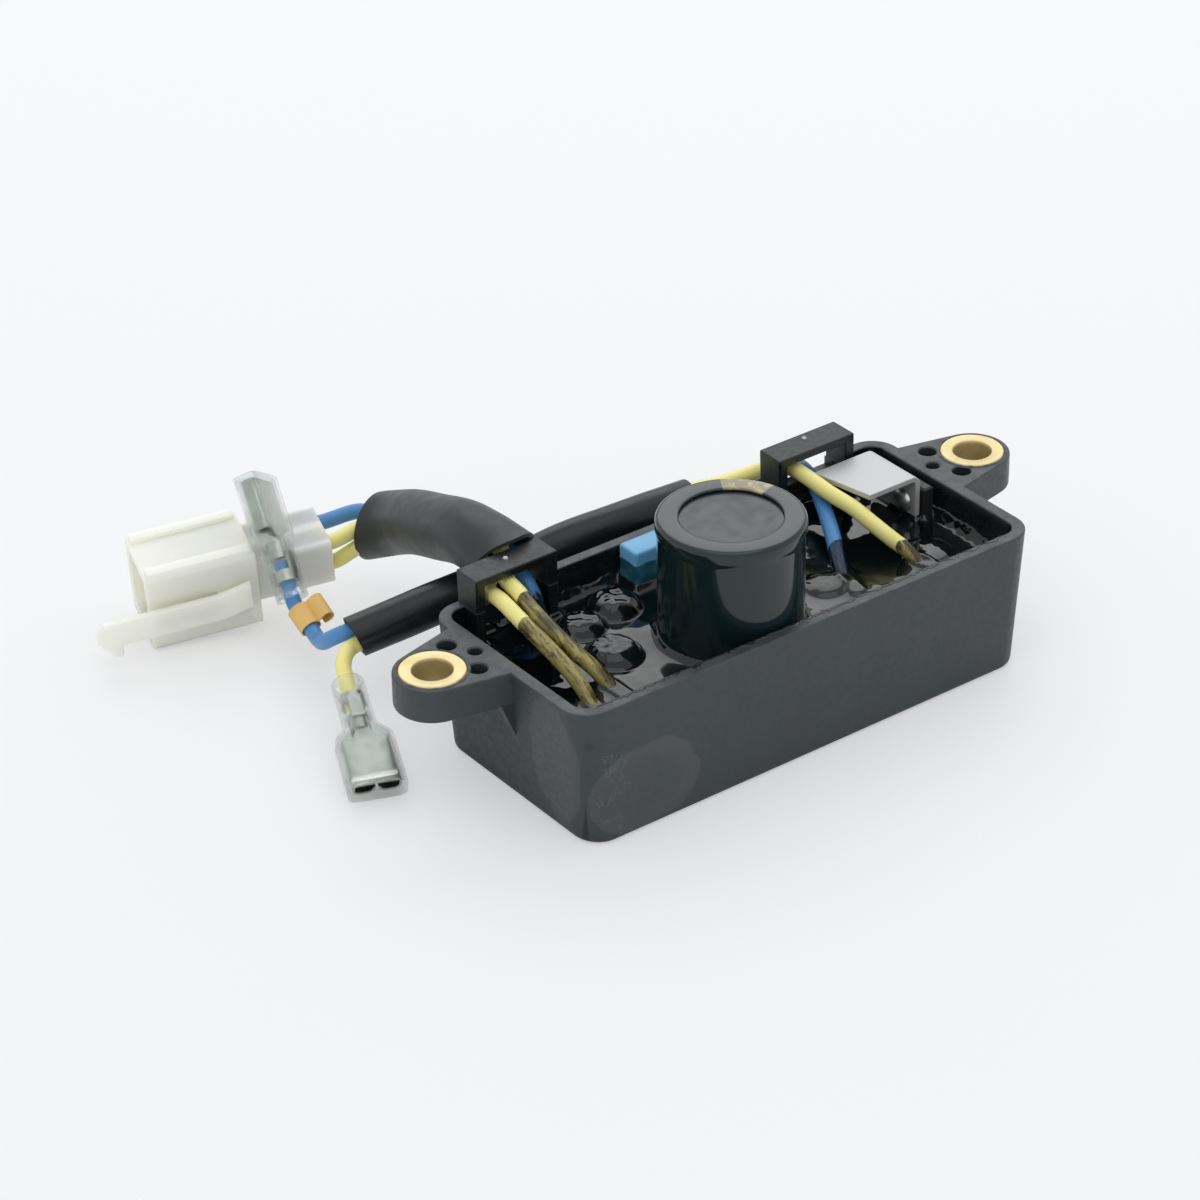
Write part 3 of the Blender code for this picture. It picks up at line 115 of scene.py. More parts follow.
class Surface:
    def __init__(self, name):
        self.material = bpy.data.materials.new(name)
        self.material.use_nodes = True
        self.tree = self.material.node_tree
        self.shader = self.tree.nodes["Principled BSDF"]
        self.places = self.add("TexCoord", {}).outputs["Object"]

    def add(self, kind, values, **settings):
        return addNode(self.tree, kind, values, **settings)

    def set(self, **values):
        for key, value in values.items():
            linkValue(self.tree, value, self.shader.inputs[shaderInputs[key]])

    def noise(self, scale, detail=3.0, rough=0.5, stretch=None):
        values = {"Scale": scale, "Detail": detail, "Roughness": rough}
        values["Vector"] = self.mapped(scale=stretch) if stretch else self.places
        return self.add("TexNoise", values).outputs["Fac"]

    def mapped(self, move=(0, 0, 0), scale=(1, 1, 1)):
        values = {"Vector": self.places, "Location": move, "Scale": scale}
        return self.add("Mapping", values).outputs["Vector"]

    def axis(self, index, source=None):
        return self.add("SeparateXYZ", {0: source or self.places}).outputs[index]

    def math(self, kind, *values):
        return self.add("Math", dict(enumerate(values)), operation=kind).outputs[0]

    def times(self, first, second):
        return self.math("MULTIPLY", first, second)

    def less(self, first, second):
        return self.math("SUBTRACT", first, second)

    def span(self, value, low, high, first=0.0, last=1.0):
        values = dict(enumerate((value, low, high, first, last)))
        return self.add("MapRange", values, interpolation_type="SMOOTHSTEP").outputs["Result"]

    # where a place along an axis lies between two levels
    def zone(self, index, low, high):
        return self.span(self.axis(index), low * mm, high * mm)

    # inputs 6 and 7 of the node are its two colours and output 2 is the mixed one
    def mix(self, share, first, second):
        return self.add("Mix", {0: share, 6: first, 7: second}, data_type="RGBA").outputs[2]

    # a further shade over a colour where the share is, at a strength
    def over(self, colour, share, strength, shade):
        return self.mix(self.times(share, strength), colour, shade)

    def bump(self, height, strength, distance):
        before = self.shader.inputs["Normal"].links
        values = {"Height": height, "Strength": strength, "Distance": distance,
                  "Normal": before[0].from_socket if before else None}
        linkValue(self.tree, self.add("Bump", values).outputs["Normal"], self.shader.inputs["Normal"])

    # how near a point lies to a spot, 1 inside and 0 beyond its edge
    def spot(self, centre, size, soft, wobble=0.0):
        move = [-value / extent for value, extent in zip(centre, size)]
        away = self.mapped(move, [1 / (extent * mm) for extent in size])
        length = self.add("VectorMath", {0: away}, operation="LENGTH").outputs["Value"]
        return self.span(self.math("ADD", length, wobble), 1.0, 1.0 - soft)


# Marks on the moulding at its left front corner, and a painted reflection on its left face beside that
# corner: middle, size and softness of each
mouldingMarks = {
    "bloom": ((-34.7, -20.6, 8.3), (11.2, 4.0, 8.4), 0.06),
    "bloomMiddle": ((-35.5, -20.6, 8.6), (10.2, 4.0, 7.4), 0.5),
    "paintedSideReflection": ((-47.0, -12.0, 13.0), (6.0, 6.5, 12.5), 0.10),
    "lines": ((-40.5, -20.5, 10.0), (3.6, 4.0, 10.5), 0.3),
    "gate": ((-44.7, -19.8, 19.0), (1.1, 2.0, 1.0), 0.7),
}


# Moulding of the box: fine grain, the marks, a painted reflection on its left face, a rim paler in patches,
# and a wet look where resin has run over it
def makeMoulding():
    s, marks = Surface("blackMoulding"), mouldingMarks
    speck = s.noise(900, 2, 0.6)
    colour = s.mix(s.noise(60, 4, 0.6), (0.026, 0.034, 0.037), (0.040, 0.050, 0.054))
    wobble = s.times(s.less(s.noise(130, 4, 0.6), 0.5), 0.5)
    edge = s.less(s.spot(*marks["bloom"], wobble), s.times(s.spot(*marks["bloomMiddle"], wobble), 0.45))
    colour = s.over(colour, edge, 0.27, (0.115, 0.125, 0.125))
    # painted reflection: the left face made paler towards the front corner
    colour = s.over(colour, s.spot(*marks["paintedSideReflection"], wobble), 0.30, (0.110, 0.120, 0.120))
    contour = s.math("ABSOLUTE", s.less(s.noise(110, 4, 0.62), 0.5))
    lines = s.times(s.span(contour, 0.012, 0.004), s.spot(*marks["lines"]))
    colour = s.over(colour, lines, 0.16, (0.22, 0.23, 0.23))
    gate = s.spot(*marks["gate"])
    colour = s.over(colour, gate, 0.7, (0.012, 0.015, 0.016))
    # the rim's top band made paler in patches
    paleRimPatches = s.times(s.zone(2, 24.6, 25.0), s.span(s.noise(220, 4), 0.35, 0.6))
    colour = s.over(colour, paleRimPatches, 0.45, (0.085, 0.092, 0.094))
    across = s.math("DIVIDE", s.math("ABSOLUTE", s.axis(0)), 44.75 * mm)
    along = s.math("DIVIDE", s.math("ABSOLUTE", s.less(s.axis(1), 0.2 * mm)), 18.45 * mm)
    inside = s.times(s.span(s.math("MAXIMUM", across, along), 1.0, 0.996), s.zone(2, 24.95, 24.75))
    onOutlet = s.times(s.zone(2, 25.1, 25.3), s.zone(1, 20.42, 20.38))
    wetted = s.math("MAXIMUM", inside, s.times(onOutlet, s.zone(1, 15.35, 15.2)))
    colour = s.over(colour, onOutlet, 0.85, (0.012, 0.014, 0.015))
    colour = s.mix(wetted, colour, s.mix(s.noise(160), (0.003, 0.004, 0.005), (0.010, 0.012, 0.013)))
    rough = s.less(s.span(speck, 0.3, 0.7, 0.38, 0.52), s.times(wetted, 0.16))
    s.set(colour=colour, rough=rough, specular=0.5)
    s.bump(speck, 0.22, 0.00006)
    s.bump(s.noise(220), 0.16, 0.00012)
    s.bump(gate, -0.6, 0.0004)
    return s.material


def makeResin():
    s = Surface("blackResin")
    # painted reflection: a teal tint on the resin round the capacitor, for its sleeve mirrored there
    paintedTealReflection = s.spot((*capCentre, 18.5), (15, 15, 9), 0.5)
    colour = s.over((0.0022, 0.0045, 0.0052), paintedTealReflection, 0.5, (0.002, 0.011, 0.014))
    s.set(colour=colour, rough=s.span(s.noise(300), 0.35, 0.75, 0.02, 0.08), ior=1.52)
    s.bump(s.noise(80, 2, 0.4), 0.05, 0.0004)
    return s.material


def makePlating():
    s = Surface("creamPlating")
    stained = s.span(s.noise(160, 4, 0.6), 0.35, 0.75)
    colour = s.mix(stained, (0.84, 0.71, 0.38), (0.74, 0.60, 0.28))
    # painted shade: the plating darker brown below its top edge, down into the bore
    colour = s.over(colour, s.zone(2, 25.05, 24.4), 0.75, (0.30, 0.22, 0.085))
    s.set(colour=colour, rough=s.span(s.noise(500), 0.3, 0.7, 0.34, 0.50), metal=0.35)
    s.bump(s.noise(260), 0.15, 0.0001)
    return s.material


# Shrink sleeve of the capacitor, with a pale stripe over a part of its ring
def makeCapSleeve():
    s = Surface("darkShrinkSleeve")
    plan = s.mapped(move=[-value * mm for value in (*capCentre, 0)])
    x, y = s.axis(0, plan), s.axis(1, plan)
    angle = s.math("ARCTAN2", y, x)
    away = s.math("SQRT", s.math("ADD", s.math("POWER", x, 2.0), s.math("POWER", y, 2.0)))
    inBand = s.times(s.span(angle, radians(15), radians(16)), s.span(angle, radians(61), radians(60)))
    stripe = s.times(inBand, s.times(s.span(away, 8.3 * mm, 8.5 * mm), s.zone(2, 39.6, 39.8)))
    pale = s.mix(s.span(s.noise(500, 4), 0.35, 0.6), (0.45, 0.39, 0.20), (0.22, 0.19, 0.10))
    colour = s.mix(stripe, s.mix(s.noise(40, 2), (0.005, 0.014, 0.016), (0.008, 0.020, 0.022)), pale)
    s.set(colour=colour, rough=s.span(s.noise(220, 4, 0.6), 0.3, 0.7, 0.08, 0.14), coat=0.1, coatRough=0.05)
    s.bump(s.noise(90, 2, 0.4), 0.06, 0.0003)
    return s.material


def makeAluminium(name, colour, rough, metal=1.0):
    s = Surface(name)
    brushed = s.noise(260, 4, 0.6, stretch=(1.0, 12.0, 1.0))
    s.set(colour=s.mix(brushed, [value * 0.90 for value in colour], colour),
          rough=s.span(brushed, 0.3, 0.7, rough, rough + 0.12), metal=metal)
    s.bump(brushed, 0.12, 0.00004)
    return s.material


def makeFilmBox():
    s = Surface("blueBox")
    dipped = s.span(s.math("ADD", s.axis(2), s.times(s.noise(260, 2), 1.2 * mm)), 24.2 * mm, 23.9 * mm)
    dry = s.mix(s.noise(120), (0.15, 0.42, 0.70), (0.18, 0.47, 0.76))
    wet = s.mix(s.span(s.noise(300), 0.4, 0.62), (0.018, 0.095, 0.135), (0.050, 0.210, 0.290))
    s.set(colour=s.mix(dipped, dry, wet), rough=s.span(dipped, 0.0, 1.0, 0.36, 0.08))
    s.bump(s.noise(500, 2), 0.10, 0.00006)
    s.bump(s.times(dipped, s.noise(420)), 0.5, 0.0003)
    return s.material


# Insulation: plain beyond the box, and below a crisp edge across it a glossy brown skin of resin
def makeInsulation(name, shades, edge):
    s = Surface(name)
    clean, deep, stained = shades
    streak = s.noise(460, 4, 0.6, stretch=(1.3, 0.16, 0.45))
    wobble = s.times(s.less(s.noise(420, 2), 0.5), 1.2 * mm)
    patch = s.span(s.math("ADD", s.axis(1), wobble), (edge + 0.12) * mm, (edge - 0.12) * mm)
    dirt = s.mix(s.span(streak, 0.42, 0.58), stained, [value * 0.16 for value in stained])
    fleck = s.span(s.noise(1500, 2), 0.60, 0.68)
    dirt = s.over(dirt, fleck, 0.6, [value * 0.10 for value in stained])
    s.set(colour=s.mix(patch, s.mix(s.noise(130), clean, deep), dirt),
          rough=s.span(patch, 0.0, 1.0, 0.34, 0.10), specular=0.5)
    s.bump(s.noise(500), 0.10, 0.00006)
    s.bump(s.times(patch, s.noise(300, stretch=(1.0, 0.4, 0.6))), 0.30, 0.0004)
    return s.material


# A plain finish: two shades mixed by one noise, a roughness spread by another, and bumps
def makePlain(name, first, second, spread, rough, *bumps, **more):
    s = Surface(name)
    share = s.noise(*spread[:3])
    if len(spread) > 3:
        share = s.span(share, *spread[3:])
    s.set(colour=s.mix(share, first, second), rough=s.span(s.noise(*rough[:2]), *rough[2:]), **more)
    for grain, strength, distance in bumps:
        s.bump(s.noise(*grain), strength, distance)
    return s.material


def makeSleeving(name, dark, light, rough):
    return makePlain(name, dark, light, (90, 4, 0.6), (420, 3, 0.3, 0.7, rough, rough + 0.10),
                     ((700,), 0.08, 0.00005), ((90, 4, 0.6), 0.02, 0.0003), specular=0.4)


def makeComponent(name, dark, light, rough):
    return makePlain(name, dark, light, (300,), (700, 2, 0.3, 0.7, rough, rough + 0.12),
                     ((600, 2), 0.12, 0.00005))


yellowShades = ((0.96, 0.89, 0.32), (0.90, 0.82, 0.28), (0.36, 0.305, 0.093))
blueShades = ((0.085, 0.27, 0.60), (0.060, 0.22, 0.50), (0.010, 0.035, 0.085))
finishes = {
    "moulding": makeMoulding(),
    "resin": makeResin(),
    "residue": makePlain("driedResin", (0.006, 0.008, 0.009), (0.026, 0.029, 0.030), (400,),
                         (500, 3, 0.35, 0.7, 0.12, 0.40), ((600,), 0.5, 0.00015)),
    "plating": makePlating(),
    "capSleeve": makeCapSleeve(),
    "capDisc": makePlain("capacitorTop", (0.012, 0.018, 0.023), (0.020, 0.028, 0.034), (60,),
                         (400, 3, 0.3, 0.7, 0.30, 0.42), ((350,), 0.14, 0.0001), specular=0.7),
    "sink": makeAluminium("sinkAluminium", (0.60, 0.61, 0.61), 0.45, 0.4),
    "aluminium": makeAluminium("plainAluminium", (0.80, 0.81, 0.82), 0.30),
    "filmBox": makeFilmBox(),
    "yellowOne": makeInsulation("yellowInsulationOne", yellowShades, 6.9),
    "yellowTwo": makeInsulation("yellowInsulationTwo", yellowShades, 11.4),
    "yellowThree": makeInsulation("yellowInsulationThree", yellowShades, -5.2),
    "blueOne": makeInsulation("blueInsulationOne", blueShades, 15.4),
    "blueTwo": makeInsulation("blueInsulationTwo", blueShades, 1.6),
    "sleeving": makeSleeving("blackSleeving", (0.022, 0.026, 0.028), (0.034, 0.039, 0.041), 0.38),
    "thinSleeving": makeSleeving("blackThinSleeving", (0.005, 0.007, 0.008), (0.010, 0.012, 0.013), 0.26),
    # painted highlight: the black gate nubs given a pale grey colour
    "nub": makeComponent("nubPaintedHighlight", (0.45, 0.47, 0.47), (0.62, 0.64, 0.64), 0.35),
    "nylon": makePlain("naturalNylon", (0.96, 0.95, 0.74), (0.985, 0.975, 0.81), (110,),
                       (300, 3, 0.3, 0.7, 0.30, 0.42), ((500, 2), 0.08, 0.00005),
                       subsurface=0.9, subsurfaceScale=0.005, subsurfaceRadius=(1.0, 0.95, 0.80)),
    "tinned": makePlain("tinnedBrass", (0.46, 0.48, 0.44), (0.36, 0.38, 0.34), (300, 4, 0.6, 0.4, 0.7),
                        (800, 3, 0.3, 0.7, 0.18, 0.26), ((900,), 0.03, 0.00003), metal=1.0),
    "cover": makePlain("clearCover", (0.74, 0.82, 0.79), (0.84, 0.90, 0.88), (200,),
                       (350, 3, 0.3, 0.7, 0.05, 0.12), ((140, 2), 0.05, 0.0003),
                       through=0.9, ior=1.35, alpha=0.34),
    "marker": makePlain("orangeMarker", (0.84, 0.54, 0.18), (0.77, 0.47, 0.14), (260,),
                        (700, 3, 0.3, 0.7, 0.42, 0.42), ((700,), 0.15, 0.00006)),
    "component": makeComponent("componentBlack", (0.012, 0.012, 0.013), (0.022, 0.022, 0.023), 0.4),
    "olive": makeComponent("oliveCoat", (0.05, 0.045, 0.02), (0.09, 0.08, 0.03), 0.3),
    "laminate": makeComponent("boardLaminate", (0.02, 0.07, 0.025), (0.03, 0.10, 0.035), 0.5),
}
print("finishes made:", len(finishes))


# Making of pieces
def dress(data, finish, smooth):
    data.materials.clear()
    data.materials.append(finishes[finish])
    if smooth:
        data.shade_smooth()
        data.set_sharp_from_angle(angle=radians(smooth))


def keepPiece(name, data, finish, slot, *replaced, smooth=35):
    piece = placed(name, data)
    dress(data, finish, smooth)
    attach(piece, "root")
    if replaced:
        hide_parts(*replaced)
    return piece


def newPiece(name, shape, finish, slot, *replaced, smooth=35):
    return keepPiece(name, meshOf(name, shape), finish, slot, *replaced, smooth=smooth)


def changed(piece, kind, **settings):
    modifier = piece.modifiers.new(kind.lower(), kind)
    for key, value in settings.items():
        setattr(modifier, key, value)
    return piece


def softEdges(piece, width, angle=32):
    return changed(piece, "BEVEL", width=width * mm, segments=2, limit_method="ANGLE",
                   angle_limit=radians(angle), harden_normals=True)


def walled(piece, thickness, offset=-1.0):
    return changed(piece, "SOLIDIFY", thickness=thickness * mm, offset=offset, use_even_offset=True)


# Even shading over large faces beside rounded edges
def evenNormals(piece):
    return changed(piece, "WEIGHTED_NORMAL", keep_sharp=True)


def faceOut(shape):
    shape.normal_update()
    bmesh.ops.recalc_face_normals(shape, faces=shape.faces)
    shape.normal_update()
    if shape.calc_volume(signed=True) < 0:
        bmesh.ops.reverse_faces(shape, faces=shape.faces)
    return shape


def vertsOf(items):
    return [item for item in items if isinstance(item, bmesh.types.BMVert)]


def moveShape(shape, matrix):
    bmesh.ops.transform(shape, matrix=matrix, verts=shape.verts)
    return shape


def boxShape(low, high):
    shape = bmesh.new()
    bmesh.ops.create_cube(shape, size=1.0)
    size = at(*high) - at(*low)
    bmesh.ops.scale(shape, vec=size, verts=shape.verts)
    bmesh.ops.translate(shape, vec=at(*low) + size / 2, verts=shape.verts)
    return shape


# A box for cutting whose far face along X is larger, so that the opening gets a slanted edge
def flaredBox(low, high, end, grow):
    shape = boxShape(low, high)
    middle = [(a + b) / 2 * mm for a, b in zip(low, high)]
    for vert in shape.verts:
        if abs(vert.co.x - end * mm) < 1e-6:
            vert.co.y += grow * mm * (1 if vert.co.y > middle[1] else -1)
            vert.co.z += grow * mm * (1 if vert.co.z > middle[2] else -1)
    return shape


def cylinderShape(centre, radius, low, high, axis, steps):
    shape = bmesh.new()
    bmesh.ops.create_cone(shape, cap_ends=True, segments=steps, radius1=radius * mm, radius2=radius * mm,
                          depth=(high - low) * mm)
    bmesh.ops.translate(shape, vec=at(0, 0, (low + high) / 2), verts=shape.verts)
    if axis == "X":
        bmesh.ops.rotate(shape, matrix=Matrix.Rotation(pi / 2, 3, "Y"), verts=shape.verts)
    shift = at(0, *centre) if axis == "X" else at(*centre, 0)
    bmesh.ops.translate(shape, vec=shift, verts=shape.verts)
    return shape


def spunShape(profile, centre, steps=96):
    shape = bmesh.new()
    ring = [shape.verts.new(at(radius, 0, height)) for radius, height in profile]
    edges = [shape.edges.new(pair) for pair in zip(ring, ring[1:])]
    bmesh.ops.spin(shape, geom=ring + edges, cent=(0, 0, 0), axis=(0, 0, 1), angle=tau, steps=steps,
                   use_merge=True)
    bmesh.ops.remove_doubles(shape, verts=shape.verts, dist=0.000002)
    bmesh.ops.translate(shape, vec=at(*centre, 0), verts=shape.verts)
    return faceOut(shape)


# A strip in section, pushed along one axis; its wall is grown by Solidify
def stripShape(line, low, high, axis):
    lift = {"X": lambda a, b, h: at(h, a, b), "Y": lambda a, b, h: at(a, h, b), "Z": at}[axis]
    shape = bmesh.new()
    ring = [shape.verts.new(lift(a, b, low)) for a, b in line]
    edges = [shape.edges.new(pair) for pair in zip(ring, ring[1:])]
    pushed = bmesh.ops.extrude_edge_only(shape, edges=edges)
    bmesh.ops.translate(shape, vec=lift(0, 0, high - low), verts=vertsOf(pushed["geom"]))
    return shape


def flatShape(outline, low, high, axis):
    shape = stripShape([*outline, outline[0]], low, high, axis)
    bmesh.ops.remove_doubles(shape, verts=shape.verts, dist=0.000001)
    bmesh.ops.holes_fill(shape, edges=shape.edges)
    return faceOut(shape)


# The points of a quarter round in section, from straight up to straight out
def quarterRound(across, up, radius, steps=8):
    turns = [step * pi / 2 / steps for step in range(steps + 1)]
    return [(across + radius * sin(turn), up + radius * cos(turn)) for turn in turns]


def ringOf(shape, steps, radius):
    ring = bmesh.ops.create_circle(shape, cap_ends=False, segments=steps, radius=radius)["verts"]
    return ring, list({edge for vert in ring for edge in vert.link_edges})


def joinRings(shape, rings):
    for first, second in zip(rings, rings[1:]):
        bmesh.ops.bridge_loops(shape, edges=first + second)
    bmesh.ops.recalc_face_normals(shape, faces=shape.faces)
    return shape


def bevelEdges(shape, edges, width, steps):
    bmesh.ops.bevel(shape, geom=edges, offset=width * mm, segments=steps, profile=0.5, affect="EDGES",
                    material=-1)


def roundWhere(shape, wanted, width, steps):
    bevelEdges(shape, [edge for edge in shape.edges if wanted(edge)], width, steps)


def runsAlong(axis):
    def check(edge):
        run = edge.verts[1].co - edge.verts[0].co
        return abs(run[axis]) > 0.9 * run.length
    return check


def liesAt(axis, level):
    return lambda item: all(abs(vert.co[axis] - level * mm) < 1e-6 for vert in item.verts)


# Solids are cut and joined as objects, one step at a time, and the result is kept as one mesh. Sorting them
# first makes each run the same, and an open result is worked again with the tool moved by a hair
sortWay = Vector((1, 0.3713, 0.1191))
toolTries = 4
toolNudge = 0.0000003


def looseObject(shape):
    bmesh.ops.triangulate(shape, faces=[face for face in shape.faces if len(face.verts) > 3])
    shape.verts.sort(key=lambda vert: vert.co.dot(sortWay))
    shape.faces.sort(key=lambda face: face.calc_center_median().dot(sortWay))
    return placed("loose", meshOf("loose", faceOut(shape)))


def worked(shape, steps):
    for kind, tool in steps:
        base, other = looseObject(shape), looseObject(tool)
        changed(base, "BOOLEAN", operation=kind, solver="EXACT", object=other)
        for trial in range(toolTries):
            bpy.context.view_layer.update()
            mesh = bpy.data.meshes.new_from_object(base.evaluated_get(bpy.context.evaluated_depsgraph_get()))
            shape = bmesh.new()
            shape.from_mesh(mesh)
            bpy.data.meshes.remove(mesh)
            bmesh.ops.remove_doubles(shape, verts=shape.verts, dist=0.000002)
            if all(edge.is_manifold for edge in shape.edges):
                break
            other.location.z += toolNudge
        for thing in (base, other):
            old = thing.data
            bpy.data.objects.remove(thing, do_unlink=True)
            bpy.data.meshes.remove(old)
    return shape


# Routes of the leads and sleeves, as in the solids. An oval is a place, a spread and a depth along the sleeve
leadWidth = 2.7
leadLevel = 16.15
leadThinning = (0.60, 0.72, 0.88, 0.97, 1.0)
largeSleeve = {
    "width": 11.0, "wall": 0.7, "spread": 3.0, "middle": 0.8, "around": 48, "wrinkle": 0.04, "seed": 1.0,
    "ovals": ((0.0, 0.14, 0.13), (1.0, 0.14, -0.03)), "cuts": (-3.2, -3.0),
    "route": ((-30.0, 23.2, 28.2), (-30.2, 28.5, 28.4), (-29.6, 34.5, 27.2), (-28.4, 43.0, 23.8),
              (-26.7, 52.0, 20.0), (-26.0, 58.5, 16.8), (-27.3, 64.6, 13.8)),
}
thinSleeve = {
    "width": 7.2, "wall": 0.4, "spread": 1.52, "around": 40, "wrinkle": 0.07, "seed": 9.0,
    "ovals": ((0.5, 0.5, -0.02), (1.0, 0.08, 0.04)), "cuts": (0.3, 0.6),
    "route": ((10.0, 24.8, 23.6), (-5.4, 26.6, 23.0), (-14.0, 28.4, 21.9), (-22.5, 30.6, 19.4),
              (-29.5, 32.6, 17.4), (-36.0, 34.5, 15.9), (-42.5, 36.3, 14.4), (-49.7, 38.0, 13.0)),
}
insideRoutes = {
    "yellowLeadOne": (
        (-36.9, -15.8, leadLevel), (-36.8, -12.6, leadLevel + 0.2), (-36.5, -9.6, 18.1), (-36.3, -6.6, 20.1),
        (-36.4, -3.0, 21.9), (-36.9, 2.0, 24.0), (-37.5, 7.6, 26.0), (-37.4, 13.0, 27.1), (-36.8, 17.0, 26.5),
        (-35.0, 20.3, 25.7)),
    "yellowLeadTwo": (
        (-30.9, -13.2, leadLevel), (-30.8, -10.0, leadLevel + 0.2), (-31.0, -7.0, 18.3), (-31.8, -4.0, 20.5),
        (-33.0, -0.5, 22.4), (-33.8, 3.0, 24.0), (-34.4, 8.0, 26.0), (-34.2, 13.0, 27.6), (-33.6, 17.0, 27.8),
        (-32.0, 20.3, 28.0)),
    "blueLeadOne": (
        (-28.6, 8.0, leadLevel), (-28.5, 11.2, leadLevel + 0.2), (-28.4, 14.0, 18.2), (-28.5, 15.5, 20.6),
        (-28.9, 16.1, 23.0), (-29.2, 17.4, 25.2), (-29.1, 19.6, 26.4)),
    "yellowLeadThree": (
        (33.2, -14.0, leadLevel), (32.8, -11.0, leadLevel + 0.2), (32.0, -8.2, 18.2), (31.4, -6.0, 19.9),
        (30.2, -3.4, 21.4), (29.0, 0.4, 23.2), (28.1, 4.0, 24.7), (26.7, 8.6, 26.0), (26.0, 12.5, 27.0),
        (25.6, 16.6, 27.4), (25.4, 20.2, 26.6), (24.6, 23.2, 24.9), (21.5, 25.2, 23.7), (17.2, 25.4, 23.8),
        (13.4, 25.0, 24.6)),
    "blueLeadTwo": (
        (18.0, -9.0, leadLevel), (18.7, -6.2, leadLevel + 0.2), (19.7, -3.0, 18.4), (21.5, 0.4, 20.0),
        (23.3, 3.6, 21.3), (25.0, 7.0, 22.4), (27.1, 11.2, 23.3), (28.6, 15.0, 24.5), (29.2, 18.2, 25.3),
        (29.2, 21.0, 25.2), (28.2, 24.0, 23.7), (25.5, 26.2, 21.6), (21.2, 26.6, 20.6), (17.0, 26.2, 20.6),
        (13.3, 25.5, 21.3)),
}
outsideRoutes = {
    "blueLeadOne": ((-27.2, 69.5, 14.4),),
    "yellowLeadThree": ((-52.4, 36.1, 12.1), (-54.5, 34.2, 11.2)),
    "blueLeadTwo": ((-51.7, 41.5, 11.9), (-51.3, 44.9, 9.3), (-50.2, 47.9, 7.7), (-49.4, 50.6, 7.3),
                    (-49.05, 53.3, 8.15), (-48.95, 55.6, 9.2)),
}


def easeIn(value):
    value = min(1.0, max(0.0, value))
    return value * value * (3 - 2 * value)


# The points with one more before the first and one after the last, straight on
def padded(points):
    return [2 * points[0] - points[1]] + points + [2 * points[-1] - points[-2]]


def smoothLine(points, steps=2):
    points = [Vector(point) for point in points]
    spaced, line = padded(points), []
    for before, start, end, after in zip(spaced, spaced[1:], spaced[2:], spaced[3:]):
        for step in range(steps):
            t = step / steps
            line.append(0.5 * (2 * start + (end - before) * t
                               + (2 * before - 5 * start + 4 * end - after) * t ** 2
                               + (3 * start - before - 3 * end + after) * t ** 3))
    return line + [points[-1]]


def lengthOf(line):
    return sum((second - first).length for first, second in zip(line, line[1:]))


def lineLength(points):
    return lengthOf(smoothLine(points, 12)) * mm


# The way a line heads at one of its points, and the level way square to that
def headingAt(line, index):
    heading = (line[min(index + 1, len(line) - 1)] - line[max(index - 1, 0)]).normalized()
    return heading, heading.cross(Vector((0, 0, 1))).normalized()


def besideLine(line, spread, first, last):
    made = []
    for index, point in enumerate(line):
        heading, side = headingAt(line, index)
        angle = radians(first + (last - first) * index / (len(line) - 1))
        made.append(point + spread * (side * cos(angle) + side.cross(heading) * sin(angle)))
    return made


# Connector and receptacles: how each lies, and its sizes
connector = {
    "corner": (-63.49, 85.87, 1.50), "turn": (5.9, -4.15, -17.4),
    "hood": (19.3, 13.7, 14.8), "wall": 1.3, "back": 2.0, "block": (13.5, 11.9, 8.5), "blockInset": 0.8,
    "blockRise": 3.9, "way": 3.4, "across": 5.8, "up": 4.2, "leadIn": 2.8, "bladeStart": 6.0,
    "armGap": 1.0, "armThick": 1.3, "arm": {"low": 4.6, "top": 9.4, "tip": -9.5, "root": 12.5, "nose": 1.2},
    "rail": (-2.7, -13.2), "railWide": 2.2, "railHigh": 0.7,
}
receptacle = {
    "length": 19.0, "width": 8.0, "height": 2.8, "sheet": 0.4, "curl": 9.0, "neck": 2.2, "gripStart": 0.7,
    "grip": 2.0, "barrelStart": 4.9, "barrelEnd": 8.0, "barrel": 1.75,
    "coverWall": 0.4, "coverWidth": 9.8, "coverHeight": 4.6, "tail": 2.2, "nose": 0.8,
}
lies = {"yellow": {"mouth": (-63.1, 12.5, 2.6), "heading": (-0.340, -0.875, -0.345), "roll": 180.0},
        "blue": {"mouth": (-45.3, 72.9, 24.9), "heading": (0.170, 0.720, 0.670), "roll": 230.0}}

connectorTurn = Euler([radians(angle) for angle in connector["turn"]]).to_matrix().to_4x4()
connectorPlace = Matrix.Translation(at(*connector["corner"])) @ connectorTurn


def receptaclePlace(lie):
    along = Vector(lie["heading"]).normalized()
    across = Vector((0, 0, 1)).cross(along).normalized()
    roll = Matrix.Rotation(radians(lie["roll"]), 3, "X")
    turn = Matrix((along, across, along.cross(across))).transposed() @ roll
    return Matrix.Translation(at(*lie["mouth"]) - along * receptacle["length"] * mm) @ turn.to_4x4()


def wayCentre(across, up):
    c = connector
    return (-c["blockInset"] - c["block"][1] / 2 - (across - 0.5) * c["across"],
            c["blockRise"] + c["block"][2] / 2 + (up - 0.5) * c["up"])


def intoConnector(across, up):
    rear = connector["hood"][0] + connector["block"][0]
    return [connectorPlace @ at(rear + ahead, *wayCentre(across, up)) / mm
            for ahead in (1.6, -0.4, -connector["leadIn"])]


def intoReceptacle(colour):
    place = receptaclePlace(lies[colour])
    return [place @ at(x, 0, 0) / mm for x in (-3.0, 0.6, receptacle["barrelStart"] - 0.6)]


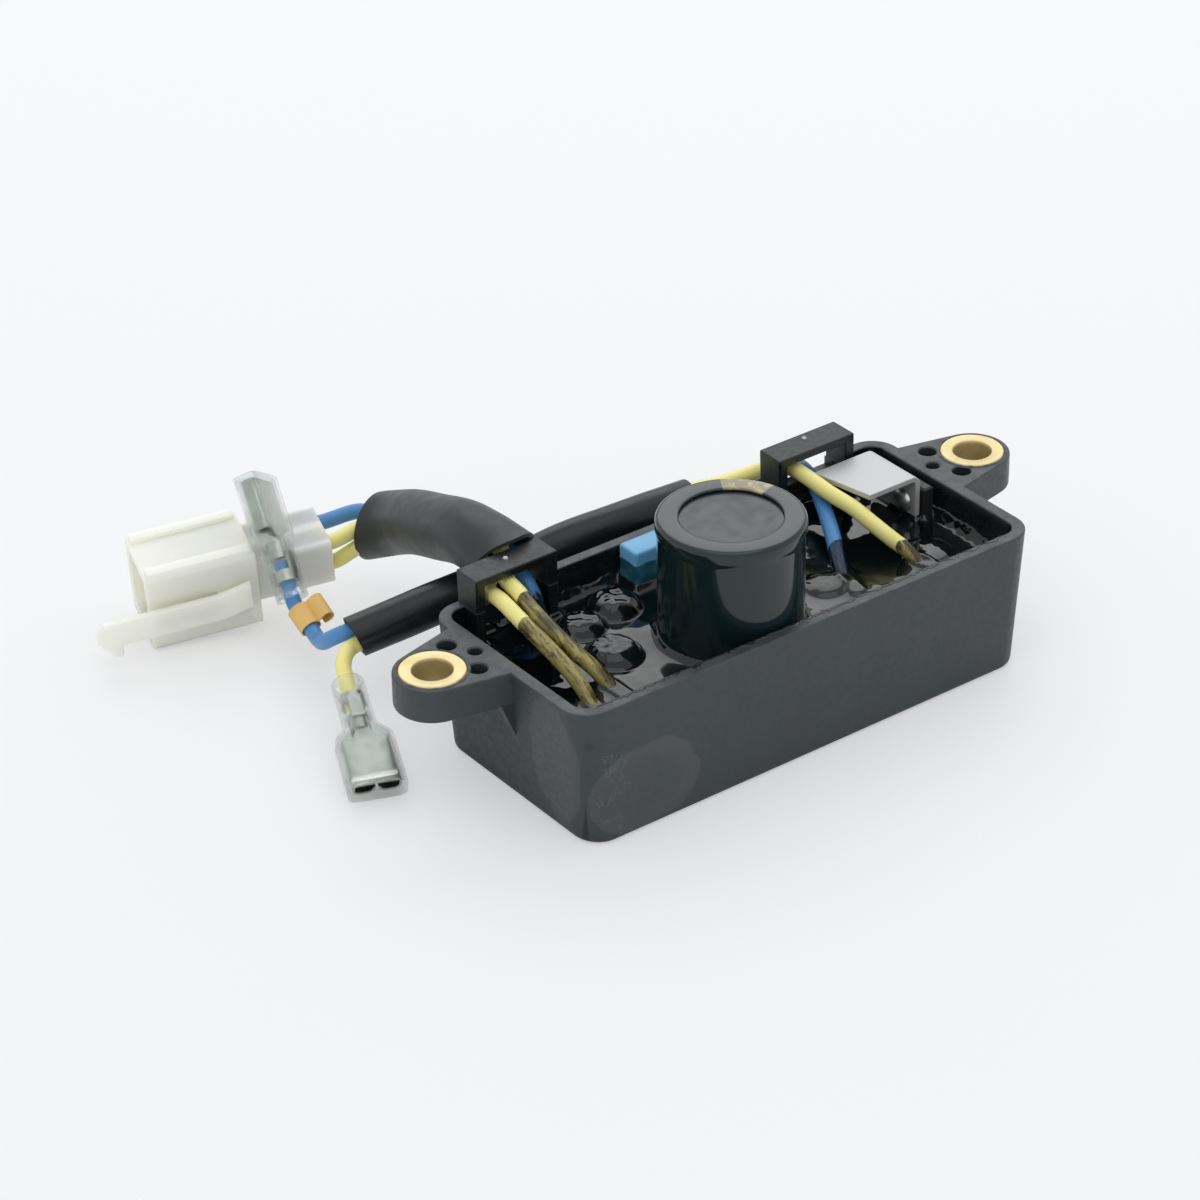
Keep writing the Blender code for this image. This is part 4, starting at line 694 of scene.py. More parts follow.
# Each lead's solid and finish, the sleeve that holds it and where in it, and the points at its far end
inLarge, inMiddle, inThin = largeSleeve["spread"], largeSleeve["middle"], thinSleeve["spread"]
leadPlans = {
    "yellowLeadOne": ("yellow_1", "yellowOne", largeSleeve, (inLarge, 212, 215), intoConnector(1, 0)),
    "yellowLeadTwo": ("yellow_2", "yellowTwo", largeSleeve, (inMiddle, 90, 90), intoConnector(1, 1)),
    "blueLeadOne": ("blue_1", "blueOne", largeSleeve, (inLarge, -25, 5), intoConnector(0, 1)),
    "yellowLeadThree": ("yellow_3", "yellowThree", thinSleeve, (inThin, 90, 200), intoReceptacle("yellow")),
    "blueLeadTwo": ("blue_2", "blueTwo", thinSleeve, (inThin, 270, 380), intoReceptacle("blue")),
}


# A lead as one smooth curve through its points, drawn thinner where its end runs out in the resin
def leadCurve(name, points, finish, slot, node):
    curve = bpy.data.curves.new(name, "CURVE")
    curve.dimensions = "3D"
    curve.bevel_depth = 1.0
    curve.bevel_resolution = curve.resolution_u = 6
    curve.use_fill_caps = True
    line = curve.splines.new("BEZIER")
    line.use_smooth = True
    line.bezier_points.add(len(points) - 1)
    spaced = padded(points)
    knots = zip(line.bezier_points, spaced, spaced[1:], spaced[2:])
    for number, (knot, before, here, after) in enumerate(knots):
        knot.handle_left_type = knot.handle_right_type = "FREE"
        knot.co = here * mm
        knot.handle_left = (here - (after - before) / 6) * mm
        knot.handle_right = (here + (after - before) / 6) * mm
        knot.radius = leadWidth / 2 * mm * leadThinning[min(number, 4)]
    return keepPiece(name, curve, finish, slot, node, smooth=0)


leads, leadPoints = {}, {}
for name, (node, finish, sleeve, lie, end) in leadPlans.items():
    held = besideLine(smoothLine(sleeve["route"]), *lie)[::2]
    points = [Vector(point) for point in (*insideRoutes[name], *held, *outsideRoutes.get(name, ()), *end)]
    leadPoints[name] = points
    leads[name] = leadCurve(name, points, finish, node.split("_")[0] + "_insulation", "lead_" + node)
print("leads laid:", {name: round(lineLength(points), 4) for name, points in leadPoints.items()})


# Sleeves: an open skin along the route, pressed out of round, its ends cut at a slant, its wall grown inwards
def makeSleeve(name, values, finish, node):
    line = smoothLine(values["route"], 8)
    half, cuts, cutReach = values["width"] / 2, values["cuts"], 8.0
    shape, rings = bmesh.new(), []
    reach, total = 0.0, lengthOf(line)
    for index, point in enumerate(line):
        heading, side = headingAt(line, index)
        lift = side.cross(heading)
        if index:
            reach += (point - line[index - 1]).length
        share = reach / total
        squeeze = sum(depth * exp(-((share - place) / spread) ** 2)
                      for place, spread, depth in values["ovals"])
        slant = cuts[0] * easeIn(1 - reach / cutReach) + cuts[1] * easeIn(1 - (total - reach) / cutReach)
        ring, edges = ringOf(shape, values["around"], half * mm)
        for vert in ring:
            angle = atan2(vert.co.y, vert.co.x)
            spot = Vector((cos(angle) * 1.4, sin(angle) * 1.4, reach * 0.16 + values["seed"]))
            away = (half * (1.0 + squeeze * cos(2 * angle)) + values["wrinkle"] * noise.noise(spot)) * mm
            outward = side * cos(angle) + lift * sin(angle)
            vert.co = (point + heading * slant * sin(angle)) * mm + outward * away
        rings.append(edges)
    piece = newPiece(name, joinRings(shape, rings), finish, "black_sleeving", node, smooth=60)
    return softEdges(walled(piece, values["wall"]), 0.12, 50)


largePiece = makeSleeve("largeSleeve", largeSleeve, "sleeving", "sleeve_large")
thinPiece = makeSleeve("thinSleeve", thinSleeve, "thinSleeving", "sleeve_thin")
print("sleeves made")


# Connector housing: hood, rear block, latch arm and rails, each with its edges rounded before they are joined
def makeConnector():
    c, arm = connector, connector["arm"]
    long, wide, high = c["hood"]
    wall, rear, half = c["wall"], long + c["block"][0], c["way"] / 2
    hood = boxShape((0, -wide, 0), (long, 0, high))
    roundWhere(hood, runsAlong(0), 0.8, 4)
    roundWhere(hood, lambda edge: liesAt(0, 0)(edge) or liesAt(0, long)(edge), 0.22, 2)
    block = boxShape((long - c["back"] / 2, -c["blockInset"] - c["block"][1], c["blockRise"]),
                     (rear, -c["blockInset"], c["blockRise"] + c["block"][2]))
    roundWhere(block, runsAlong(0), 0.5, 3)
    roundWhere(block, liesAt(0, rear), 0.2, 2)
    outside = -wide - c["armGap"] - c["armThick"]
    low, top, tip, root, nose = (arm[key] for key in ("low", "top", "tip", "root", "nose"))
    latch = flatShape([(tip, low + nose), (tip + 2.6, low - 2.2), (tip + 4.0, low - 2.2), (tip + 4.0, low),
                       (root, low), (root + 5.0, low + nose), (root + 5.0, top + nose), (root, top),
                       (tip + nose, top), (tip, top - nose)], outside, outside + c["armThick"], "Y")
    bevelEdges(latch, latch.edges[:], 0.2, 2)
    bridge = boxShape((root - 0.5, outside + c["armThick"] / 2, low + 0.5),
                      (root + 4.5, -wide + wall / 2, top - 0.5))
    steps = [("UNION", block), ("UNION", latch), ("UNION", bridge)]
    railTop = high + c["railHigh"]
    for depth in c["rail"]:
        rail = boxShape((0.5, depth, high - 0.65), (long - 0.5, depth + c["railWide"], railTop))
        roundWhere(rail, liesAt(2, railTop), 0.2, 2)
        steps.append(("UNION", rail))
    steps.append(("DIFFERENCE", boxShape((-1, -wide + wall, wall), (long - c["back"], -wall, high - wall))))
    steps.append(("DIFFERENCE", flaredBox((-0.5, -wide + wall, wall), (0.35, -wall, high - wall), -0.5, 0.7)))
    for across, up in ((0, 0), (0, 1), (1, 0), (1, 1)):
        depth, height = wayCentre(across, up)
        near, far = (depth - half, height - half), (depth + half, height + half)
        steps.append(("DIFFERENCE", boxShape((long - 2 * c["back"], *near), (rear + 1, *far))))
        steps.append(("DIFFERENCE", flaredBox((rear - 0.3, *near), (rear + 0.3, *far), rear + 0.3, 0.5)))
    shape = moveShape(worked(hood, steps), connectorPlace)
    return evenNormals(newPiece("connectorHousing", shape, "nylon", "natural_nylon", "connector_housing"))


connectorPiece = makeConnector()


# Terminals of the connector: a blade with a rounded nose, and the square body behind it
def makeTerminal(number, across, up):
    c = connector
    depth, height = wayCentre(across, up)
    half, rear = c["way"] / 2 - 0.3, c["hood"][0] + c["block"][0] - c["leadIn"] - 0.3
    body = boxShape((c["hood"][0] - c["back"] / 2, depth - half, height - half),
                    (rear, depth + half, height + half))
    blade = boxShape((c["bladeStart"], depth - 1.1, height - 0.4), (c["hood"][0], depth + 1.1, height + 0.4))
    roundWhere(blade, lambda edge: liesAt(0, c["bladeStart"])(edge) and runsAlong(2)(edge), 0.7, 3)
    shape = moveShape(worked(body, [("UNION", blade)]), connectorPlace)
    return softEdges(newPiece(f"connectorTerminal{number}", shape, "tinned", "tinned_brass",
                              f"connector_terminal_{number}"), 0.12)


connectorTerminals = [makeTerminal(number, *way) for number, way in enumerate(((1, 0), (1, 1), (0, 1)), 1)]
print("connector made")


# Receptacle: sheet rolled in at both edges, a neck, a barrel on the strands and a grip on the insulation
def makeReceptacle(colour):
    r, place, name = receptacle, receptaclePlace(lies[colour]), colour + "Receptacle"
    sheet = r["sheet"]
    wide, deep = r["width"] / 2 - sheet / 2, r["height"] / 2 - sheet / 2
    half = [(0.30 * wide, -deep), (0.84 * wide, -deep), (0.95 * wide, -0.86 * deep), (wide, -0.55 * deep),
            (wide, 0.30 * deep), (0.95 * wide, 0.70 * deep), (0.80 * wide, 0.95 * deep), (0.62 * wide, deep),
            (0.42 * wide, 0.98 * deep), (0.25 * wide, 0.85 * deep), (0.14 * wide, 0.50 * deep),
            (0.10 * wide, 0.05 * deep)]
    section = [(-y, z) for y, z in reversed(half)] + half
    start = r["length"] - r["curl"]
    shape = moveShape(stripShape(section, start, r["length"], "X"), place)
    piece = newPiece(name, shape, "tinned", "tinned_brass", "receptacle_" + colour)
    softEdges(walled(piece, sheet, 0.0), 0.08, 50)
    base, grip = -r["height"] / 2, leadWidth / 2 + 0.3 + sheet
    narrow, middle = r["neck"] / 2, (r["barrelStart"] + r["barrelEnd"]) / 2
    neck = flatShape([(middle, -narrow), (r["barrelEnd"] + 0.4, -narrow - 0.1), (start + 1.0, -2.4),
                      (start + 1.0, 2.4), (r["barrelEnd"] + 0.4, narrow + 0.1), (middle, narrow)],
                     base + 0.05, base + sheet - 0.05, "Z")
    gripEnd = r["gripStart"] + r["grip"]
    web = boxShape((r["gripStart"] + 1.0, -narrow, 0.05 - grip),
                   (r["barrelStart"] + 1.0, narrow, 0.2 - r["barrel"]))
    bore = cylinderShape((0, 0), grip - sheet, r["gripStart"] - 1, r["barrelStart"] - 0.3, "X", 40)
    sides = worked(neck, [
        ("UNION", cylinderShape((0, 0), r["barrel"], r["barrelStart"], r["barrelEnd"], "X", 32)),
        ("UNION", web),
        ("UNION", cylinderShape((0, 0), grip, r["gripStart"], gripEnd, "X", 40)),
        ("DIFFERENCE", bore),
        ("DIFFERENCE", boxShape((r["barrelStart"] - 1, -0.14, 0.8), (r["barrelEnd"] + 1, 0.14, 4))),
        ("DIFFERENCE", boxShape((r["gripStart"] - 1, -0.16, 0.8), (gripEnd + 0.2, 0.16, 4)))])
    return [piece, evenNormals(newPiece(name + "Crimp", moveShape(sides, place), "tinned", "tinned_brass"))]


def squared(value, power):
    return abs(value) ** power * (1 if value > 0 else -1)


# Clear cover: round over the lead, opening to a flat mouth; a station is a place and how far it is opened
coverStations = ((-receptacle["tail"], 0.0), (0.0, 0.0), (3.0, 0.0), (6.0, 0.02), (7.2, 0.14), (8.0, 0.38),
                 (8.9, 0.78), (9.7, 0.96), (11.0, 1.0), (14.0, 1.0), (17.0, 1.0),
                 (receptacle["length"] + receptacle["nose"], 1.0))


def makeCoverPiece(colour):
    r = receptacle
    rounded = leadWidth / 2 + 0.6 + r["sheet"] + r["coverWall"]
    shape, rings = bmesh.new(), []
    for number, (x, share) in enumerate(coverStations):
        ring, edges = ringOf(shape, 40, 1.0)
        wide = rounded + (r["coverWidth"] / 2 - rounded) * share
        deep = rounded + (r["coverHeight"] / 2 - rounded) * share
        power = 1.0 - 0.62 * share
        for vert in ring:
            across, up = vert.co.x, vert.co.y
            dent = 0.10 * noise.noise(Vector((across * 1.5, up * 1.5, number * 0.7)))
            vert.co = at(x, (wide + dent) * squared(across, power), (deep + dent) * squared(up, power))
        rings.append(edges)
    shape = moveShape(joinRings(shape, rings), receptaclePlace(lies[colour]))
    piece = newPiece(colour + "Cover", shape, "cover", "clear_sleeve", "terminal_cover_" + colour, smooth=60)
    return walled(piece, r["coverWall"])


yellowEnd, blueEnd = ([*makeReceptacle(colour), makeCoverPiece(colour)] for colour in ("yellow", "blue"))

# Marker: a strip folded round the blue lead, with a second fold pressed beside it
markerFold = {"gap": 0.3, "wall": 0.3, "second": 2.6, "half": 1.3, "wide": 4.4, "side": (0.83, -0.40, 0.35)}


def makeMarkerPiece():
    m = markerFold
    points = smoothLine(leadPoints["blueLeadTwo"], 2)
    before, middle, after = points[-10], points[-8], points[-6]
    radius, half = leadWidth / 2 + m["gap"] + m["wall"] / 2, m["half"]
    loop = [(radius * cos(radians(angle)), radius * sin(radians(angle))) for angle in range(20, 341, 16)]
    far = radius + m["second"]
    upper = [(far - half, half), (far - 0.7 * half, half), (far - 0.3 * half, 0.8 * half),
             (far - 0.05 * half, 0.4 * half)]
    fold = [(x, -y) for x, y in upper] + [(far, 0.0)] + upper[::-1]
    shape = stripShape(loop + fold + [(radius + 0.6, 0.8 * half)], -m["wide"] / 2, m["wide"] / 2, "Z")
    along = (after - before).normalized()
    side = Vector(m["side"])
    side = (side - along * side.dot(along)).normalized()
    turn = Matrix((side, along.cross(side), along)).transposed().to_4x4()
    shape = moveShape(shape, Matrix.Translation((middle - along * 0.5) * mm) @ turn)
    piece = newPiece("markerTag", shape, "marker", "orange_marker", "marker_tag", smooth=50)
    return softEdges(walled(piece, m["wall"], 0.0), 0.06, 50)


marker = makeMarkerPiece()
print("receptacles, covers and marker made")

# The free cords, each with what is on it
cordEnds = {
    "yellowLeadOne": ("connector", [connectorPiece, largePiece, connectorTerminals[0]]),
    "yellowLeadTwo": ("object", [connectorTerminals[1]]),
    "blueLeadOne": ("object", [connectorTerminals[2]]),
    "yellowLeadThree": ("fitting", [*yellowEnd, thinPiece]),
    "blueLeadTwo": ("fitting", [*blueEnd, marker]),
}
for name, (farEnd, carried) in cordEnds.items():
    lineLength(leadPoints[name])

# Housing
housing = {
    "half": (47.0, 20.5), "high": 25.0, "endTaper": 2.0, "sideTaper": 0.2, "corner": 5.0, "foot": 1.2,
    "endWall": 2.3, "frontWall": 2.3, "backWall": 2.1, "floor": 2.2, "rim": 0.32,
    "ear": {"radius": 6.4, "under": 19.0, "root": 45.9, "rootFront": -2.6, "rootBack": 15.0},
    "blind": ((50.0, 10.6, 3.1), (47.5, 6.4, 2.3), (50.1, 2.0, 3.1)), "blindDeep": 4.2,
    "bushing": {"outer": 10.8, "bore": 6.6, "low": 18.8, "high": 25.2, "chamfer": 0.35},
    "outlet": {"centres": (-32.9, 29.3), "long": 16.2, "deep": 5.5, "top": 31.0, "post": 1.9, "roof": 1.5,
               "sill": 23.4, "seat": 1.05},
}


# The open box as one shell: rounded corners, leaning walls, and its rim rounded on both sides
def boxShell():
    h = housing
    halfX, halfY = h["half"]
    shape = boxShape((-halfX, -halfY, 0), (halfX, halfY, h["high"]))
    roundWhere(shape, runsAlong(2), h["corner"], 14)
    for vert in shape.verts:
        drop = 1 - vert.co.z / (h["high"] * mm)
        vert.co.x *= 1 - drop * h["endTaper"] / halfX
        vert.co.y *= 1 - drop * h["sideTaper"] / halfY
    roundWhere(shape, liesAt(2, 0), h["foot"], 5)
    level = liesAt(2, h["high"])
    top = [face for face in shape.faces if level(face)]
    bmesh.ops.inset_region(shape, faces=top, thickness=h["frontWall"] * mm, use_even_offset=True)
    innerY = halfY - h["frontWall"]
    for vert in top[0].verts:
        vert.co.y += (h["frontWall"] - h["backWall"]) * mm * (vert.co.y / (innerY * mm) + 1) / 2
    pushed = bmesh.ops.extrude_face_region(shape, geom=top)
    bmesh.ops.delete(shape, geom=[face for face in top if face.is_valid], context="FACES_ONLY")
    share = (h["high"] - h["floor"]) / h["high"]
    for vert in vertsOf(pushed["geom"]):
        vert.co.z = h["floor"] * mm
        vert.co.x *= 1 - share * h["endTaper"] / halfX
        vert.co.y *= 1 - share * h["sideTaper"] / halfY
    roundWhere(shape, lambda edge: level(edge) and not all(level(face) for face in edge.link_faces),
               h["rim"], 3)
    return shape


# An ear: the hull of its round end and of a thin root in the box's end wall
def earShape(side):
    h, ear = housing, housing["ear"]
    tongue = cylinderShape(earPlaces[side], ear["radius"], ear["under"], h["high"], "Z", 64)
    root = boxShape((side * ear["root"] - 0.05, ear["rootFront"], ear["under"]),
                    (side * ear["root"] + 0.05, ear["rootBack"], h["high"]))
    spare = meshOf("spare", root)
    tongue.from_mesh(spare)
    bpy.data.meshes.remove(spare)
    bmesh.ops.delete(tongue, geom=tongue.edges[:] + tongue.faces[:], context="EDGES_FACES")
    hull = bmesh.ops.convex_hull(tongue, input=tongue.verts)
    bmesh.ops.delete(tongue, geom=vertsOf(hull["geom_interior"]), context="VERTS")
    bmesh.ops.dissolve_limit(tongue, angle_limit=radians(0.5), verts=tongue.verts, edges=tongue.edges)
    roundWhere(tongue, liesAt(2, h["high"]), h["rim"], 3)
    roundWhere(tongue, liesAt(2, ear["under"]), 0.5, 3)
    return tongue


# A frame of two posts and a roof whose feet lean into the back wall
def outletShape(centre):
    o, back = housing["outlet"], housing["half"][1]
    out, inn = o["long"] / 2, o["long"] / 2 - o["post"]
    low, under, top = housing["floor"] - 0.5, o["top"] - o["roof"], o["top"]
    outline = [(centre - out, low), (centre - inn, low), (centre - inn, under), (centre + inn, under),
               (centre + inn, low), (centre + out, low), (centre + out, top), (centre - out, top)]
    shape = flatShape(outline, back - o["deep"], back, "Y")
    for vert in shape.verts:
        if vert.co.z < o["sill"] * mm and vert.co.y > (back - 1) * mm:
            vert.co.y -= o["seat"] * mm
    roundWhere(shape, lambda edge: not liesAt(2, low)(edge), 0.32, 3)
    return shape


# A hole's cutter, whose cone gives the hole a slanted edge and goes on above it, with no corner at its level
def holeCutter(centre, radius, low, high, flare, steps):
    profile = [(0, low), (radius, low), (radius, high - flare), (radius + flare + 1, high + 1), (0, high + 1)]
    return spunShape(profile, centre, steps)


def makeHousing():
    h, o = housing, housing["outlet"]
    halfX, halfY = h["half"]
    steps = [("UNION", earShape(-1)), ("UNION", earShape(1))]
    wall, under = halfX - h["endWall"] / 2, h["ear"]["under"] + 0.5
    for side in (-1, 1):
        web = [(side * wall, under), (side * (halfX + 1.8), under), (side * wall, under - 7.0)]
        steps.append(("UNION", flatShape(web, -2.0, -0.4, "Y")))
    inn = o["long"] / 2 - o["post"] - 0.02
    for centre in o["centres"]:
        gap = boxShape((centre - inn, halfY - 3.5, o["sill"]), (centre + inn, halfY + 1, h["high"] + 2))
        steps += [("UNION", outletShape(centre)), ("DIFFERENCE", gap)]
    boreRadius, blindFloor = h["bushing"]["outer"] / 2 + 0.05, h["high"] - h["blindDeep"]
    for side, middle in earPlaces.items():
        steps.append(("DIFFERENCE", holeCutter(middle, boreRadius, 18, h["high"], 0.15, 64)))
        for across, depth, size in h["blind"]:
            hole = holeCutter((side * across, depth), size / 2, blindFloor, h["high"], 0.22, 32)
            steps.append(("DIFFERENCE", hole))
    shape = worked(boxShell(), steps)
    evenNormals(newPiece("mouldedBox", shape, "moulding", "black_moulding", "housing", smooth=40))


makeHousing()

# Resin that ran over the front wall's rim and dried there. A row is its place across, its height above the
# rim and how far it goes with the ragged outer edge
residue = {"long": 86, "cells": (560, 5), "least": 0.12, "most": 1.75, "rows": (
    (0.03, -1.2, 0.0), (0.03, -0.45, 0.0), (-0.06, -0.02, 0.0), (-0.10, 0.09, 0.30), (-0.10, 0.08, 0.75),
    (-0.10, -0.06, 1.0))}


def makeRimResidue():
    r = residue
    shape = bmesh.new()
    grid = bmesh.ops.create_grid(shape, x_segments=r["cells"][0], y_segments=r["cells"][1], size=0.5)
    inner = -housing["half"][1] + housing["frontWall"]
    for vert in grid["verts"]:
        x = vert.co.x * r["long"]
        y, z, share = r["rows"][round((vert.co.y + 0.5) * 5)]
        ragged = (0.62 + 0.9 * noise.noise(Vector((x * 0.45, 2.0, 1.0)))
                  + 0.55 * noise.noise(Vector((x * 1.7, 5.0, 1.0))))
        reach = min(r["most"], max(r["least"], ragged)) * easeIn((r["long"] / 2 - abs(x)) / 4)
        lump = 0.05 * noise.noise(Vector((x * 1.3, share * 3, 4.0))) * (1 if 0 < share < 1 else 0)
        vert.co = at(x, inner + y - share * reach, housing["high"] + z + lump - (0.3 if reach < 0.1 else 0))
    if sum(face.normal.z for face in shape.faces) < 0:
        bmesh.ops.reverse_faces(shape, faces=shape.faces)
    newPiece("rimResidue", shape, "residue", "potting_resin", smooth=60)


# Small leftovers of the moulding: a gate nub on each outlet, painted pale grey as its highlight, and a rough
# lip round each bushing
nub = {"radius": 0.42, "flat": 0.7, "height": 31.05,
       "places": {"leftNub": (-32.9, 18.2), "rightNub": (29.5, 18.8)}}
lipProfile = [(5.47, 24.80), (5.47, 25.08), (5.62, 25.16), (5.90, 25.10), (6.05, 24.94)]


def makeNubs():
    for name, place in nub["places"].items():
        shape = bmesh.new()
        bmesh.ops.create_icosphere(shape, subdivisions=3, radius=nub["radius"] * mm)
        for vert in shape.verts:
            vert.co *= 1 + 0.25 * noise.noise(vert.co * 1500)
            vert.co.z *= nub["flat"]
        moveShape(shape, Matrix.Translation(at(*place, nub["height"])))
        newPiece(name, shape, "nub", "black_moulding", smooth=60)
    for side, word in sides:
        lip = spunShape(lipProfile, (0, 0), 128)
        for vert in lip.verts:
            rough = noise.noise(Vector((vert.co.x * 900, vert.co.y * 900, side * 3.0)))
            if vert.co.z > 25.0 * mm:
                vert.co.z += 0.16 * mm * rough
        moveShape(lip, Matrix.Translation(at(*earPlaces[side], 0)))
        newPiece(word + "Lip", lip, "moulding", "black_moulding", smooth=60)


makeRimResidue()
makeNubs()
print("box made")


def makeBushings():
    b = housing["bushing"]
    outer, bore, edge, low, high = b["outer"] / 2, b["bore"] / 2, b["chamfer"], b["low"], b["high"]
    profile = [(outer - 0.15, high), (outer, high - 0.15), (outer, low + 0.15), (outer - 0.15, low),
               (bore + edge, low), (bore, low + edge), (bore, high - edge), (bore + 0.08, high - 0.12),
               (bore + edge, high), (outer - 0.15, high)]
    for side, word in sides:
        shape = spunShape(profile, earPlaces[side], 64)
        newPiece(word + "Bushing", shape, "plating", "yellow_plated_steel", "bushing_" + word, smooth=40)


makeBushings()

# Big capacitor
bigCap = {"outer": 11.9, "crown": 12.2, "edge": 0.9, "band": 1.4, "top": 40.2, "lip": 8.4, "low": 15.1}


def makeBigCap():
    c = bigCap
    outer, top, crown, edge, lip, low = (c[key] for key in ("outer", "top", "crown", "edge", "lip", "low"))
    band = top - edge - c["band"]
    outside = [(lip + 0.02, top - 0.14), (lip + 0.18, top - 0.02), (lip + 0.5, top + 0.0),
               *quarterRound(crown - edge, top - edge, edge), (crown, band + 0.15),
               (crown - 0.06, band - 0.05), (outer + 0.05, band - 0.5), (outer, band - 0.9), (outer, 30.0),
               (outer, 22.0), (outer, low)]
    inside = [(outer - 0.3, low), (outer - 0.3, band - 0.9), (crown - 0.35, band), (crown - 0.35, top - edge),
              (crown - edge, top - 0.32), (lip, top - 0.32), (lip + 0.02, top - 0.14)]
    shape = spunShape(outside + inside, capCentre, 144)
    newPiece("capacitorSleeve", shape, "capSleeve", "capacitor_sleeve", "capacitor_sleeve", smooth=50)
    disc = [(0, 39.5), (6.0, 39.52), (7.9, 39.55), (lip + 0.9, 39.6), (10.9, 39.5), (11.4, 39.1),
            (11.5, 38.5), (10.8, 37.3), (0, 37.3)]
    shape = spunShape(disc, capCentre)
    newPiece("capacitorDisc", shape, "capDisc", "capacitor_sleeve", "capacitor_disc", smooth=40)


makeBigCap()

# Film capacitor: a box with rounded edges
filmCorners = ((-10.5, 13.0, 14.8), (2.5, 17.8, 25.8))


def makeFilm():
    shape = boxShape(*filmCorners)
    bevelEdges(shape, shape.edges, 0.5, 3)
    newPiece("filmCapacitor", shape, "filmBox", "blue_box", "film_capacitor", smooth=40)


makeFilm()

# Heat sink: plate, bend and leg of one sheet
sink = {"thick": 1.0, "top": 27.2, "front": 2.3, "back": 14.0, "leftFront": 30.1, "leftBack": 27.8,
        "outer": 41.2, "bend": 1.8, "foot": 15.0}


def makeSink():
    s = sink
    bend = quarterRound(s["outer"] - s["bend"], s["top"] - s["bend"], s["bend"])
    line = [(s["leftFront"], s["top"]), *bend, (s["outer"], s["foot"])]
    shape = stripShape(line, s["front"], s["back"], "Y")
    for vert in shape.verts:
        if abs(vert.co.x - s["leftFront"] * mm) < 1e-6 and vert.co.y > 10 * mm:
            vert.co.x = s["leftBack"] * mm
    bmesh.ops.recalc_face_normals(shape, faces=shape.faces)
    upper = [face for face in shape.faces if abs(face.calc_center_median().z - s["top"] * mm) < 1e-5][0]
    if upper.normal.z < 0:
        bmesh.ops.reverse_faces(shape, faces=shape.faces)
    piece = newPiece("heatSink", shape, "sink", "aluminium", "heat_sink")
    softEdges(walled(piece, s["thick"]), 0.14, 50)


makeSink()

# Rivet in the leg of the heat sink: its head on the inside, and its shank to the end wall
rivet = {"shank": 1.2, "end": 44.0, "place": (0, 5.2, 21.6)}


def makeRivet():
    inner, shank, end = sink["outer"] - sink["thick"] - 0.3, rivet["shank"], rivet["end"]
    profile = [(0, inner - 0.9), (1.1, inner - 0.88), (1.7, inner - 0.7), (2.05, inner - 0.35), (2.1, inner),
               (shank, inner), (shank, end), (0, end)]
    turn = Matrix.Translation(at(*rivet["place"])) @ Matrix.Rotation(pi / 2, 4, "Y")
    shape = moveShape(spunShape(profile, (0, 0), 32), turn)
    newPiece("sinkRivet", shape, "aluminium", "aluminium", "heat_sink_rivet", smooth=40)


makeRivet()
print("bushings, capacitor and heat sink made")

# Resin: its skin climbs every wall and lead, and rides over the low cans. A bump is a place, a radius and a
# height; a box that it climbs is its left, right, front and back, with the height and reach of the climb
outletPosts = [(left, left + 1.9, 15.0, 20.5, 1.2, 0.7) for left in (-41.0, -26.7, 21.2, 35.5)]
resin = {
    "level": 18.5, "low": 2.5, "left": -45.2, "right": 45.2, "front": -18.8, "back": 18.9,
    "cells": (300, 124), "capClimb": (1.3, 0.9), "leadClimb": (0.55, 0.45), "skirt": 43.0,
    "bumps": ((-16.2, 11.8, 3.1, 2.35), (-24.0, 10.0, 2.5, 2.10), (-25.0, 0.2, 3.2, 2.20),
              (15.2, -4.2, 2.4, 0.8), (35.7, -6.2, 2.6, 0.6)),
    "boxes": ((-10.5, 2.5, 13.0, 17.8, 1.4, 0.6), (40.2, 41.2, 2.3, 14.0, 1.0, 0.8),
              (41.5, 43.5, 1.6, 9.6, 1.0, 0.8), *outletPosts),
}


def boxAway(x, y, left, right, front, back):
    dx = max(left - x, 0, x - right)
    dy = max(front - y, 0, y - back)
    return (dx * dx + dy * dy) ** 0.5


def noiseAt(x, y, scale, seed):
    return noise.noise(Vector((x * scale, y * scale, seed)))


